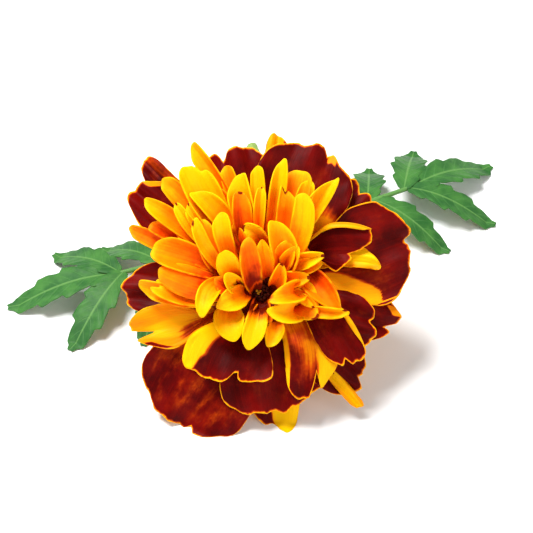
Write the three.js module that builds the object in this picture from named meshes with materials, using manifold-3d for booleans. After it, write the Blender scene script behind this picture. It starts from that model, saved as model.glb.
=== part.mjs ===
// A French marigold as picked: one crested head on its stalk, with a pair of leaves.
// It lies on a table: the stalk lies along it, and the head leans up and looks forward, to -Y.
// Millimetres, +Z up, the table at z = 0, and the origin under the middle of the whole flower.
// Head pieces are made in the head's own frame: +Z out of its face, +Y up the face.

import * as THREE from 'three';
import { mergeVertices } from 'three/addons/utils/BufferGeometryUtils.js';
import Module from 'manifold-3d';

const wasm = await Module();
wasm.setup();

// Head: how far its axis leans from upright, and where the middle of the face sits.
const HEAD_LEAN = 45;
const HEAD_AT = new THREE.Vector3(0.5, -20.11, 17.8);
const GAP = 0.3;
const ARC_STEPS = 12;
const CREASE_WIDTH = 0.15;
// Shares of a petal's length from its root: its cup changes up to the first, then up to the second.
const CUP_CHANGES = [0.45, 0.85];

// Ray florets: flat broad petals round the rim, on a small disc.
const RAY_THICKNESS = 0.7;
const RAY_ROWS = 5;
const RAY_COLUMNS = 6;
const RAY_ROOT_RADIUS = 4.4;
const RAY_ROOT_HEIGHT = 0.1;
const RAY_DISC = { radius: 5.8, bottom: -1.0, top: 0.6 };
const RAY_SHAPE = { claw: 0.28, widest: 0.74, end: 0.88, notchWidth: 0.33, cupRoot: 40, cupMore: 8 };

// One row a ray: azimuth, reach, width, tip height, knee height, knee place (share of reach), cup,
// curl of its left and right side, notch place and depth, skew of its tip, height of its waves, how
// far its root is turned from its tip, and its roll about its own line.
const RAYS = [
  [-123.5, 30.2, 22.6, 0.6, 5.6, 0.42, 6, 0, 0, 0.3, 0.07, 0.03, 0.7, -4, 0],
  [-116, 18.1, 17.5, 7.2, 7.4, 0.58, 10, 0, 15, 0.25, 0.15, -0.16, 0.5, 0, 0],
  [-83, 22.8, 20.0, 3.4, 6.4, 0.45, -8, 0, 0, 0.3, 0.03, -0.02, 0.5, 0, -6],
  [-88.5, 25.4, 13.4, -0.4, 3.7, 0.42, 0, 0, 0, 0.0, 0.0, 0.22, 0.3, 0, 0],
  [-64.5, 21.3, 10.2, 6.6, 7.0, 0.58, -10, 0, 0, 0.15, 0.2, -0.12, 0.4, 36, 0],
  [-38, 22.0, 9.0, 7.4, 7.8, 0.52, -6, 200, 0, -0.3, 0.06, -0.02, 0.3, 40, 0],
  [-44, 25.8, 10.5, 1.2, 5.0, 0.42, 0, 0, 0, 0.2, 0.04, 0.0, 0.5, 0, 0],
  [-49.5, 28.6, 2.4, 1.4, 3.4, 0.42, 30, 0, 0, 0.0, 0.0, 0.0, 0.2, 0, 0],
  [-17, 22.6, 10.0, 4.6, 6.2, 0.45, -10, 0, 0, 0.1, 0.04, -0.05, 0.4, 0, 0],
  [-11, 26.1, 11.0, 1.6, 5.2, 0.42, 0, 0, 0, -0.4, 0.06, 0.0, 0.5, 0, 0],
  [19, 29.5, 19.4, 3.0, 6.6, 0.42, 6, 0, 0, 0.05, 0.03, 0.04, 0.7, 0, 4],
  [16.2, 22.3, 4.4, 7.4, 7.0, 0.74, 6, 0, 0, 0.0, 0.0, -0.16, 0.2, 16, 0],
  [24.5, 20.9, 11.0, 8.6, 8.8, 0.66, -8, 200, 0, -0.35, 0.08, 0.14, 0.3, 26, 0],
  [45, 27.7, 12.5, 1.0, 4.6, 0.42, 0, 0, 0, 0.0, 0.03, 0.0, 0.4, 0, 0],
  [69, 29.5, 18.5, 3.0, 6.2, 0.42, 4, 0, 0, -0.3, 0.04, 0.0, 0.6, 0, 4],
  [84, 30.0, 4.6, 0.4, 4.0, 0.42, 0, 0, 0, 0.0, 0.0, 0.0, 0.4, 0, 0],
  [103, 27.9, 16.0, 1.2, 5.0, 0.42, 0, 0, 0, 0.2, 0.05, 0.0, 0.6, 0, 0],
  [133.5, 32.6, 6.4, 1.0, 5.2, 0.42, 0, 0, 0, 0.0, 0.0, -0.08, 0.3, 0, 0],
  [140.5, 31.2, 10.2, 3.0, 6.2, 0.42, 0, 0, 0, 0.1, 0.0, 0.0, 0.5, 0, 0],
  [177.5, 26.3, 9.6, 1.6, 5.4, 0.42, 0, 0, 0, 0.0, 0.0, 0.05, 0.5, 0, 0],
  [-162, 25.4, 9.0, 4.0, 6.8, 0.45, 10, 40, 0, 0.1, 0.18, -0.08, 0.3, 8, 0],
];
// Rays that open into their blade late, or below 0 are wide from the start: the share of their
// length where they begin to open.
const RAY_OPENS = { 4: -0.8, 10: 0.3, 12: 0.36, 20: 0.4 };

// Crest florets: small spoon-shaped petals that stand up in a dense crest over the rays.
const LOBE_THICKNESS = 0.6;
const LOBE_ROWS = 3;
const LOBE_COLUMNS = 3;
const LOBE_ROOT_RADIUS = 4.8;
const LOBE_ROOT_HEIGHT = 4.4;
// How much the lobes differ from each other, in all: mm, degrees and shares of their length.
const LOBE_VARIES = { skew: 0.18, bend: 5, twist: 50, cup: 35, lift: 1.5, sink: 0.5 };

// One row a lobe: tip x, y and height, throat x and y, width, cup, tip from pointed 0 to blunt 1, and
// fold along its middle in degrees (less than 0 is a ridge).
const LOBES = [
  [-13.2, 27.3, 8.0, -5.6, 18.0, 4.2, 35, 0.6, 18],
  [-13.6, 23.4, 8.5, -8.6, 15.6, 7.2, 35, 0.8, 7],
  [-18.4, 21.0, 8.5, -11.2, 15.1, 4.4, 35, 0.4, 0],
  [-21.9, 16.1, 8.2, -14.2, 11.7, 4.3, 35, 0.4, 7],
  [-20.8, 12.6, 7.4, -13.7, 10.6, 3.6, 35, 0.5, 10],
  [-24.8, 11.9, 6.6, -17.1, 8.7, 3.8, 35, 0.3, 7],
  [-20.3, 7.8, 10.0, -11.4, 4.9, 6.8, 40, 1.0, 10],
  [-18.9, 4.2, 12.0, -10.4, 0.8, 6.8, -30, 0.8, -24],
  [-22.9, 1.2, 8.5, -12.0, -2.2, 4.4, 35, 0.5, 0],
  [-20.1, 1.8, 8.8, -12.4, -0.8, 5.0, 35, 0.6, 7],
  [-15.9, 16.5, 11.0, -12.2, 10.1, 3.1, 30, 0.2, 14],
  [-12.8, 13.2, 12.5, -11.0, 5.5, 2.9, 30, 0.5, 7],
  [-10.8, 13.5, 11.0, -8.7, 4.1, 4.3, 35, 0.7, 0],
  [-7.5, 14.8, 12.0, -7.3, 7.5, 4.3, 40, 0.7, 10],
  [-12.5, 18.5, 9.5, -6.6, 13.0, 4.9, 35, 0.5, 14],
  [-9.3, 19.2, 8.0, -4.9, 13.7, 4.5, 35, 0.6, 0],
  [-3.9, 21.7, 10.0, -3.3, 12.1, 5.6, 60, 0.9, 0],
  [-3.9, 18.6, 11.2, -3.1, 11.4, 4.0, 40, 0.6, 0],
  [-0.9, 23.4, 9.0, -0.2, 15.1, 3.2, 35, 0.6, 10],
  [3.0, 24.0, 10.0, 1.5, 14.5, 4.0, 35, 0.6, 17],
  [0.0, 19.4, 11.5, -0.4, 13.3, 3.0, 35, 0.3, 21],
  [6.4, 22.7, 9.0, 5.1, 15.2, 7.4, 25, 1.0, 0],
  [13.3, 20.9, 9.5, 8.7, 14.0, 4.9, 35, 0.1, 21],
  [8.8, 20.7, 10.0, 7.4, 14.2, 4.0, 35, 0.5, 18],
  [4.4, 18.9, 11.0, 4.4, 12.0, 4.7, 40, 0.9, 0],
  [7.6, 18.3, 12.5, 9.0, 9.0, 4.3, 35, 0.6, -10],
  [-3.5, 11.5, 13.0, 0.4, 12.2, 4.5, 25, 0.6, 14],
  [2.1, 13.3, 13.5, 4.4, 6.2, 6.0, 35, 0.8, 14],
  [5.1, 9.8, 12.6, 4.2, 5.3, 4.9, 35, 0.6, 10],
  [7.0, 8.6, 12.6, 4.8, 5.0, 3.8, 35, 0.5, 7],
  [11.6, 6.9, 11.5, 5.4, 5.2, 4.0, 35, 0.2, 21],
  [11.0, 5.5, 11.0, 5.2, 4.3, 3.6, 35, 0.4, 7],
  [-3.5, 9.8, 13.6, -1.9, 0.2, 4.1, 20, 1.0, 0],
  [0.0, 9.8, 12.4, 1.6, 3.0, 3.4, 30, 0.4, 7],
  [-7.3, 7.7, 14.0, -5.7, 3.1, 4.9, 30, 0.9, 4],
  [-6.8, 3.7, 13.5, -4.6, 1.7, 3.6, 40, 0.8, -7],
  [-8.2, -2.7, 12.5, -3.5, 0.2, 4.7, 30, 0.4, -7],
  [-10.2, -4.4, 13.0, -10.4, 3.0, 3.8, 30, 0.5, -14],
  [-4.6, -8.8, 10.0, -8.5, -3.7, 6.0, 30, 0.7, -7],
  [-2.4, -10.4, 11.0, -0.3, -2.3, 4.6, 35, 0.9, 0],
  [1.3, -1.2, 14.4, 8.4, -0.3, 5.4, 35, 0.9, 8],
  [0.9, -3.2, 13.6, 8.2, -4.2, 5.6, 35, 0.8, 8],
  [10.3, -2.4, 10.4, 6.3, 2.3, 4.9, 35, 0.5, 7],
  [13.9, -3.5, 9.5, 8.5, 4.9, 5.4, 35, 0.3, 7],
  [10.2, -4.5, 10.4, 6.8, -1.9, 5.4, 35, 0.6, 7],
  [15.8, -3.0, 10.0, 9.9, -3.5, 2.9, 30, 0.2, 21],
  [1.1, -10.1, 8.5, 2.9, -6.3, 3.6, 30, 0.5, 7],
  [-5.5, 12.1, 10.0, -3.5, 7.4, 4.3, 35, 0.6, 7],
  [3.8, 5.6, 11.5, 2.0, 1.6, 3.8, 35, 0.6, 18],
  [-8.7, 2.5, 12.0, -4.8, 0.6, 4.5, 35, 0.6, 0],
  [-13.2, 16.4, 10.5, -11.3, 9.5, 2.7, 30, 0.4, 14],
  [9.0, 2.8, 10.8, 3.2, 1.8, 3.6, 35, 0.5, 10],
  [-6.8, 23.4, 8.2, -4.4, 16.4, 3.4, 35, 0.7, 7],
];
// Lobes whose tip leans much more, or not at all, to one side: the share of their length.
const LOBE_SKEWS = { 6: 0, 19: -0.1, 22: -0.1, 24: 0.12 };

// Shorter lobes fill the crest between those, on a spiral of the golden angle. They rise less and
// keep nearer the eye below it. The outer part of the crest is moved up the face.
const FILL = {
  count: 4, from: 4.6, to: 11.5, width: 3.8, reach: 4.6, height: 9.2, fall: 2.0, below: 0.4, cup: 40,
  blunt: 0.6, fold: 8,
};
const CREST_SHIFT = { x: -4.0, y: 4.0, from: 3.6, to: 10 };
const GOLDEN_ANGLE = 137.508;

// Crest core: [radius, height] points from the axis under it, round to the floor of its middle well.
// Its outer part is moved up the face, where the crest is.
const CORE = [
  [0, 0.9], [3.4, 1.1], [7.0, 4.4], [9.6, 5.6], [10.2, 6.6], [9.0, 7.6], [6.4, 8.2], [2.2, 8.0],
  [1.8, 6.3], [0, 6.3],
];
const CORE_SHIFT = { x: -1.5, y: 4.0, from: 3.6, to: 10 };
const CORE_SIDES = 20;

// Eye: the few unopened florets in the well.
const EYE = { radius: 1.5, floor: 6.6, plate: 0.8, florets: 7, floretRadius: 0.45, height: 9.0 };

// Involucre: the ribbed green cup under the head, [radius, height] from its foot to its rim.
const CUP = [[2.9, -15.0], [3.9, -14.0], [4.9, -11.5], [5.6, -8.0], [6.2, -4.5], [6.9, -0.9]];
const CUP_RIBS = 9;
const CUP_SIDES_A_RIB = 4;
const CUP_RIB_DEPTH = 0.07;
const CUP_TOOTH = 1.0;
const CUP_SEAT = { radius: 6.15, floor: -1.3 };

// Stalk: [x, y, z, radius] from under the cup to its cut end on the table, from HEAD_AT's x and y.
const STALK = [
  [0, 10.85, 6.95, 2.7], [0.1, 12.9, 5.1, 2.35], [0.4, 16.5, 3.0, 1.75], [0.9, 21, 1.75, 1.4],
  [1.4, 27, 1.25, 1.3], [1.6, 34, 1.2, 1.3], [1.2, 41, 1.15, 1.3], [0.4, 48, 1.15, 1.25],
  [-0.9, 55, 1.15, 1.25], [-2.4, 61, 1.15, 1.25],
];
const STALK_SIDES = 10;

// Leaves: where each leaves the stalk, its heading, length, arch and size.
const LEAVES = [
  { name: 'leaf_left', at: [-0.3, 26.5, 1.6], heading: 203, length: 47, arch: 5.5, size: 0.9 },
  { name: 'leaf_right', at: [3.1, 28.0, 1.6], heading: 22, length: 48, arch: 6.0, size: 0.94 },
];
// One row a leaflet: place along the rib, side (1 left, -1 right, 0 end), angle off it, length, width.
const LEAFLETS = [
  [0.23, 1, 66, 13.0, 5.6], [0.27, -1, 64, 12.5, 5.4],
  [0.43, 1, 58, 19.5, 8.0], [0.46, -1, 56, 19.0, 7.8],
  [0.62, 1, 46, 21.0, 8.6], [0.64, -1, 48, 20.5, 8.2],
  [0.67, 0, 2, 24.0, 9.6],
];
const LEAF_THICKNESS = 0.6;
const RIB = { start: 0.95, end: 0.5, sides: 6, rows: 7, reach: 0.72 };
const TEETH = 4;
const TOOTH_DEPTH = 0.14;
const BLADE_FOLD = 0.5;
const BLADE_DROOP = 1.2;

const COLOURS = {
  ray: new THREE.MeshStandardMaterial({ color: 0x5a0b08, roughness: 0.6, metalness: 0 }),
  crest: new THREE.MeshStandardMaterial({ color: 0xf79a05, roughness: 0.55, metalness: 0 }),
  eye: new THREE.MeshStandardMaterial({ color: 0x4a2408, roughness: 0.7, metalness: 0 }),
  cup: new THREE.MeshStandardMaterial({ color: 0x6c7f3c, roughness: 0.6, metalness: 0 }),
  stalk: new THREE.MeshStandardMaterial({ color: 0x8aa955, roughness: 0.55, metalness: 0 }),
  leaf: new THREE.MeshStandardMaterial({ color: 0x3f7d46, roughness: 0.6, metalness: 0 }),
};

const radians = THREE.MathUtils.degToRad;
const clamp = THREE.MathUtils.clamp;
const smooth = (from, to, x) => THREE.MathUtils.smoothstep(x, from, to);
// A fixed, well spread value from 0 to 1 for item i, used wherever petals vary.
const spread = (i, k) => (i * 0.618034 + k * 0.754878) % 1;

// Solids: a closed three.js geometry to a manifold, and back.
function solidOf(geometry) {
  const bare = geometry.index ? geometry.clone() : geometry;
  bare.deleteAttribute('normal');
  bare.deleteAttribute('uv');
  const merged = mergeVertices(bare, 1e-4);
  return new wasm.Manifold(new wasm.Mesh({
    numProp: 3,
    vertProperties: new Float32Array(merged.attributes.position.array),
    triVerts: new Uint32Array(merged.index.array),
  }));
}

function geometryOf(solid) {
  const mesh = solid.getMesh();
  const geometry = new THREE.BufferGeometry();
  geometry.setAttribute('position', new THREE.BufferAttribute(mesh.vertProperties, 3));
  geometry.setIndex(new THREE.BufferAttribute(mesh.triVerts, 1));
  geometry.computeVertexNormals();
  return geometry;
}

const join = (solids) => solids.reduce((whole, solid) => whole.add(solid));

// The largest body of a solid, without the scraps that a cut leaves.
function mainBody(solid) {
  const bodies = solid.decompose();
  return bodies.reduce((best, body) => (body.volume() > best.volume() ? body : best));
}

// A closed sheet round a grid of middle points, half the thickness to each side of it.
// point(t, u) gives the middle surface, ts and us the grid lines.
function sheet(point, ts, us, thickness) {
  const positions = [];
  const index = [];
  const step = 1e-3;
  const upper = [];
  const lower = [];
  for (const t of ts) {
    for (const u of us) {
      const middle = point(t, u);
      const along = point(t + step, u).sub(point(t - step, u));
      const across = point(t, u + step).sub(point(t, u - step));
      const normal = along.cross(across).normalize().multiplyScalar(thickness / 2);
      upper.push(middle.clone().add(normal));
      lower.push(middle.clone().sub(normal));
    }
  }
  for (const p of [...upper, ...lower]) positions.push(p.x, p.y, p.z);
  const width = us.length;
  const under = upper.length;
  const face = (a, b, c) => index.push(a, b, c);
  for (let i = 0; i + 1 < ts.length; i += 1) {
    for (let j = 0; j + 1 < width; j += 1) {
      const a = i * width + j;
      const b = a + width;
      face(a, b, b + 1);
      face(a, b + 1, a + 1);
      face(under + a, under + b + 1, under + b);
      face(under + a, under + a + 1, under + b + 1);
    }
  }
  const rim = [];
  const last = ts.length - 1;
  for (let j = 0; j + 1 < width; j += 1) rim.push(j);
  for (let i = 0; i < last; i += 1) rim.push(i * width + width - 1);
  for (let j = width - 1; j > 0; j -= 1) rim.push(last * width + j);
  for (let i = last; i > 0; i -= 1) rim.push(i * width);
  rim.forEach((a, k) => {
    const b = rim[(k + 1) % rim.length];
    face(a, b, under + b);
    face(a, under + b, under + a);
  });
  const geometry = new THREE.BufferGeometry();
  geometry.setAttribute('position', new THREE.Float32BufferAttribute(positions, 3));
  geometry.setIndex(index);
  return geometry;
}

// The middle surface of a petal at t, from its root 0 to its tip 1, and u, from its right edge -1
// to its left edge 1. Its spine is one curve from the root over the knee to the tip, and each
// cross section is an arc, with a crease along its middle and a side that may fold over.
function petalPoint(petal, t, u) {
  const { root, knee, tip } = petal;
  const notch = petal.notchDepth * clamp(1 - Math.abs(u - petal.notchAt) / petal.notchWidth, 0, 1);
  const shoulder = 1 - Math.sqrt(Math.max(1 - u * u, 0));
  const reach = 1 - petal.round * shoulder + petal.skew * u - notch;
  const s = t * reach;
  const back = clamp(s - petal.widest, 0, 1) / (1 - petal.widest);
  const share = s < petal.widest
    ? petal.claw + (1 - petal.claw) * smooth(petal.opens, petal.widest, s)
    : 1 - (1 - petal.end) * back * back;
  const half = share * petal.width / 2;
  const spine = root.clone().multiplyScalar((1 - s) ** 2)
    .addScaledVector(knee, 2 * s * (1 - s)).addScaledVector(tip, s * s);
  const forward = knee.clone().sub(root).multiplyScalar(1 - s)
    .addScaledVector(tip.clone().sub(knee), s).normalize();
  const level = new THREE.Vector3(tip.x - root.x, tip.y - root.y, 0).normalize();
  const sideways = new THREE.Vector3(0, 0, 1).cross(level);
  const turn = radians(petal.twist * s + petal.roll * smooth(0.1, 0.5, s));
  const normal = forward.clone().cross(sideways).normalize().applyAxisAngle(forward, turn);
  const across = normal.clone().cross(forward);
  spine.addScaledVector(sideways, petal.bend * s * (1 - s));
  const [setAt, doneAt] = CUP_CHANGES;
  const cupBelow = petal.cupRoot + (petal.cupMiddle - petal.cupRoot) * clamp(s / setAt, 0, 1);
  const cupAbove = (petal.cup - petal.cupMiddle) * clamp((s - setAt) / (doneAt - setAt), 0, 1);
  const cup = radians(cupBelow + cupAbove);
  const crease = radians(petal.fold) * smooth(0.15, 0.5, s);
  let a = 0;
  let b = 0;
  for (let k = 0; k < ARC_STEPS; k += 1) {
    const v = u * (k + 0.5) / ARC_STEPS;
    const outer = clamp((Math.abs(v) - 0.45) / 0.55, 0, 1) ** 1.5 * smooth(0.05, 0.5, s);
    const curl = v > 0 ? radians(petal.curlLeft) * outer : -radians(petal.curlRight) * outer;
    const slope = cup * v + crease * Math.tanh(v / CREASE_WIDTH) + curl;
    a += Math.cos(slope) * u / ARC_STEPS;
    b += Math.sin(slope) * u / ARC_STEPS;
  }
  const wave = petal.wave * smooth(0.35, 1, s) * Math.sin(Math.PI * petal.pleats * u + petal.phase);
  const lift = petal.lift * smooth(0.65, 1, s);
  return spine.addScaledVector(across, half * a).addScaledVector(normal, half * b + wave + lift);
}

// Even grid lines from -1 to 1, with the nearest inner one moved onto the notch.
function petalColumns(petal, count) {
  const lines = Array.from({ length: count + 1 }, (_, j) => -1 + 2 * j / count);
  if (petal.notchDepth > 0) {
    const nearest = clamp(Math.round((petal.notchAt + 1) * count / 2), 1, count - 1);
    lines[nearest] = petal.notchAt;
  }
  return lines;
}

// A petal as a solid.
function petalSolid(petal, rows, columns, thickness) {
  const ts = Array.from({ length: rows + 1 }, (_, i) => i / rows);
  const us = petalColumns(petal, columns);
  return solidOf(sheet((t, u) => petalPoint(petal, t, u), ts, us, thickness));
}

// The same petal swollen by the gap on every side: thicker, with one more grid line past its edges.
function swollenPetal(petal, rows, columns, thickness) {
  const length = petal.root.distanceTo(petal.knee) + petal.knee.distanceTo(petal.tip);
  const past = 1 + 4 * GAP / petal.width;
  const ts = Array.from({ length: rows + 1 }, (_, i) => i / rows);
  ts.push(1 + 2 * GAP / length);
  const us = [-past, ...petalColumns(petal, columns), past];
  return solidOf(sheet((t, u) => petalPoint(petal, t, u), ts, us, thickness + 2 * GAP));
}

function rayPetal(row, i) {
  const [azimuth, reach, width, tipHeight, kneeHeight, kneeAt, cup, ...shape] = row;
  const [curlLeft, curlRight, notchAt, notchDepth, skew, wave, lead, roll] = shape;
  const at = (angle, radius, height) => new THREE.Vector3(
    radius * Math.cos(radians(angle)), radius * Math.sin(radians(angle)), height);
  const length = reach - RAY_ROOT_RADIUS;
  return {
    root: at(azimuth + lead, RAY_ROOT_RADIUS, RAY_ROOT_HEIGHT),
    knee: at(azimuth + lead, reach * kneeAt, kneeHeight),
    tip: at(azimuth, reach, tipHeight),
    ...RAY_SHAPE, opens: RAY_OPENS[i] ?? 0, width, round: Math.min(0.2, 0.55 * width / length),
    skew, notchAt, notchDepth,
    cup, cupMiddle: cup + RAY_SHAPE.cupMore, curlLeft, curlRight,
    fold: 0, bend: 0, twist: 0, roll, lift: 0,
    wave, pleats: 1.6 + spread(i, 1), phase: 2 * Math.PI * spread(i, 2),
  };
}

function lobePetal(row, i) {
  const [tipX, tipY, tipHeight, throatX, throatY, width, cup, blunt, fold] = row;
  const inner = Math.hypot(throatX, throatY);
  const root = Math.min(0.8, LOBE_ROOT_RADIUS / inner);
  const length = Math.hypot(tipX - throatX * root, tipY - throatY * root);
  const kneeHeight = inner < 8 ? Math.max(tipHeight - 1, 7) : tipHeight + 0.6;
  return {
    root: new THREE.Vector3(throatX * root, throatY * root, LOBE_ROOT_HEIGHT),
    knee: new THREE.Vector3(throatX, throatY, kneeHeight),
    tip: new THREE.Vector3(tipX, tipY, tipHeight),
    width, claw: 0.5, opens: 0, widest: 0.58 + 0.12 * blunt, end: 0.4 + 0.58 * Math.sqrt(blunt),
    round: 0.5 * width / length, skew: LOBE_SKEWS[i] ?? LOBE_VARIES.skew * (spread(i, 3) - 0.5),
    notchAt: 0, notchDepth: 0, notchWidth: 0.3,
    cup, cupRoot: 100, cupMiddle: cup + LOBE_VARIES.cup * spread(i, 22), curlLeft: 0, curlRight: 0,
    fold, bend: LOBE_VARIES.bend * (spread(i, 23) - 0.5), twist: LOBE_VARIES.twist * (spread(i, 24) - 0.5),
    roll: 0, lift: LOBE_VARIES.lift * spread(i, 12) - LOBE_VARIES.sink, wave: 0, pleats: 1, phase: 0,
  };
}

// The rows of the shorter lobes: each leans outward, and the crest reaches less far down the face.
function fillRows() {
  return Array.from({ length: FILL.count }, (_, i) => {
    const far = Math.sqrt((i + 0.5) / FILL.count);
    const angle = radians(i * GOLDEN_ANGLE);
    const radius = FILL.from + (FILL.to - FILL.from) * far;
    const moved = smooth(CREST_SHIFT.from, CREST_SHIFT.to, radius);
    const x = radius * Math.cos(angle) + CREST_SHIFT.x * moved;
    const high = radius * Math.sin(angle) + CREST_SHIFT.y * moved;
    const y = high < 0 ? high * FILL.below : high;
    const size = Math.hypot(x, y);
    const out = (size + FILL.reach) / size;
    const height = FILL.height + 1.6 * spread(i, 4) - FILL.fall * far;
    return [x * out, y * out, height, x, y, FILL.width, FILL.cup, FILL.blunt, FILL.fold];
  });
}

function lathe(profile, sides) {
  return solidOf(new THREE.LatheGeometry(profile.map(([r, z]) => new THREE.Vector2(r, z)), sides)
    .rotateX(Math.PI / 2));
}

// A round rod along a list of [x, y, z, radius], with flat ends.
function rod(stations, sides) {
  const centres = stations.map(([x, y, z]) => new THREE.Vector3(x, y, z));
  const positions = [];
  const index = [];
  const up = new THREE.Vector3(0, 0, 1);
  centres.forEach((centre, i) => {
    const before = centres[Math.max(i - 1, 0)];
    const after = centres[Math.min(i + 1, centres.length - 1)];
    const along = after.clone().sub(before).normalize();
    const right = along.clone().cross(up).normalize();
    const over = right.clone().cross(along);
    for (let k = 0; k < sides; k += 1) {
      const angle = 2 * Math.PI * (k + 0.5) / sides;
      const p = centre.clone().addScaledVector(over, stations[i][3] * Math.cos(angle))
        .addScaledVector(right, stations[i][3] * Math.sin(angle));
      positions.push(p.x, p.y, p.z);
    }
  });
  for (let i = 0; i + 1 < centres.length; i += 1) {
    for (let k = 0; k < sides; k += 1) {
      const a = i * sides + k;
      const b = i * sides + (k + 1) % sides;
      index.push(a, b, b + sides, a, b + sides, a + sides);
    }
  }
  const end = (centres.length - 1) * sides;
  for (let k = 1; k + 1 < sides; k += 1) {
    index.push(0, k + 1, k, end, end + k, end + k + 1);
  }
  const geometry = new THREE.BufferGeometry();
  geometry.setAttribute('position', new THREE.Float32BufferAttribute(positions, 3));
  geometry.setIndex(index);
  return solidOf(geometry);
}

// Everything below the table, seen from the frame of a group.
function underTable(group) {
  const depth = 60;
  const box = new THREE.BoxGeometry(400, 400, depth).translate(0, 0, -depth / 2);
  group.updateWorldMatrix(true, false);
  return solidOf(box.applyMatrix4(group.matrixWorld.clone().invert()));
}

function rayDisc(swell) {
  return lathe([
    [0, RAY_DISC.bottom - swell], [RAY_DISC.radius + swell, RAY_DISC.bottom - swell],
    [RAY_DISC.radius + swell, RAY_DISC.top + swell], [0, RAY_DISC.top + swell],
  ], 24);
}

// The rays joined on their disc. A maker turns each petal into a solid.
function rayFlorets(makePetal, swell) {
  const petals = RAYS.map((row, i) => makePetal(rayPetal(row, i), RAY_ROWS, RAY_COLUMNS, RAY_THICKNESS));
  return join([rayDisc(swell), ...petals]);
}

function crestCore() {
  const geometry = new THREE.LatheGeometry(CORE.map(([r, z]) => new THREE.Vector2(r, z)), CORE_SIDES)
    .rotateX(Math.PI / 2);
  const { position } = geometry.attributes;
  for (let i = 0; i < position.count; i += 1) {
    const x = position.getX(i);
    const y = position.getY(i);
    const moved = smooth(CORE_SHIFT.from, CORE_SHIFT.to, Math.hypot(x, y));
    position.setXY(i, x + CORE_SHIFT.x * moved, y + CORE_SHIFT.y * moved);
  }
  return solidOf(geometry);
}

function crestFlorets() {
  const lobes = [...LOBES, ...fillRows()].map((row, i) => (
    petalSolid(lobePetal(row, i), LOBE_ROWS, LOBE_COLUMNS, LOBE_THICKNESS)));
  const depth = 12;
  const well = new THREE.CylinderGeometry(EYE.radius + GAP, EYE.radius + GAP, depth, 16)
    .rotateX(Math.PI / 2).translate(0, 0, CORE.at(-1)[1] + depth / 2);
  return join([crestCore(), ...lobes]).subtract(solidOf(well));
}

function eyeFlorets() {
  const plate = new THREE.CylinderGeometry(EYE.radius, EYE.radius, EYE.plate, 12)
    .rotateX(Math.PI / 2).translate(0, 0, EYE.floor + EYE.plate / 2);
  const tall = EYE.height - EYE.floor;
  const buds = Array.from({ length: EYE.florets }, (_, i) => {
    const angle = radians(i * GOLDEN_ANGLE);
    const out = (EYE.radius - EYE.floretRadius) * Math.sqrt(i / (EYE.florets - 1));
    const height = tall * (0.75 + 0.25 * spread(i, 5));
    return solidOf(new THREE.CylinderGeometry(EYE.floretRadius * 0.55, EYE.floretRadius, height, 6)
      .rotateX(Math.PI / 2)
      .translate(out * Math.cos(angle), out * Math.sin(angle), EYE.floor + height / 2 + 0.05));
  });
  return join([solidOf(plate), ...buds]);
}

// The cup: a ribbed wall with a toothed rim, and a shallow seat for the disc of the rays.
function involucre() {
  const sides = CUP_RIBS * CUP_SIDES_A_RIB;
  const rings = [...CUP, [CUP_SEAT.radius, CUP.at(-1)[1]], [CUP_SEAT.radius, CUP_SEAT.floor]];
  const positions = [0, 0, CUP[0][1]];
  const index = [];
  rings.forEach(([radius, height], i) => {
    for (let k = 0; k < sides; k += 1) {
      const angle = 2 * Math.PI * k / sides;
      const rib = Math.abs(Math.cos(CUP_RIBS * angle / 2));
      const outside = i < CUP.length ? smooth(0, 3, i) : 0;
      const r = radius * (1 - CUP_RIB_DEPTH * outside * (1 - rib));
      const rim = i === CUP.length - 1 || i === CUP.length;
      const z = height + (rim ? CUP_TOOTH * (rib - 0.5) : 0);
      positions.push(r * Math.cos(angle), r * Math.sin(angle), z);
    }
  });
  positions.push(0, 0, CUP_SEAT.floor);
  const ring = (i, k) => 1 + i * sides + k % sides;
  const top = 1 + rings.length * sides;
  for (let k = 0; k < sides; k += 1) {
    index.push(0, ring(0, k + 1), ring(0, k));
    index.push(top, ring(rings.length - 1, k), ring(rings.length - 1, k + 1));
    for (let i = 0; i + 1 < rings.length; i += 1) {
      index.push(ring(i, k), ring(i, k + 1), ring(i + 1, k + 1));
      index.push(ring(i, k), ring(i + 1, k + 1), ring(i + 1, k));
    }
  }
  const geometry = new THREE.BufferGeometry();
  geometry.setAttribute('position', new THREE.Float32BufferAttribute(positions, 3));
  geometry.setIndex(index);
  return solidOf(geometry);
}

// A point on the rib of a leaf, from the stalk 0 to its end 1: it rises, then comes down again.
function ribPoint(leaf, s) {
  const heading = radians(leaf.heading);
  const [x, y, z] = leaf.at;
  const bend = radians(10) * s * s * (leaf.heading > 90 ? -1 : 1);
  return new THREE.Vector3(
    x + leaf.length * s * Math.cos(heading + bend),
    y + leaf.length * s * Math.sin(heading + bend),
    z + leaf.arch * 4 * s * (1 - s) + (LEAF_THICKNESS - z) * s,
  );
}

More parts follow.
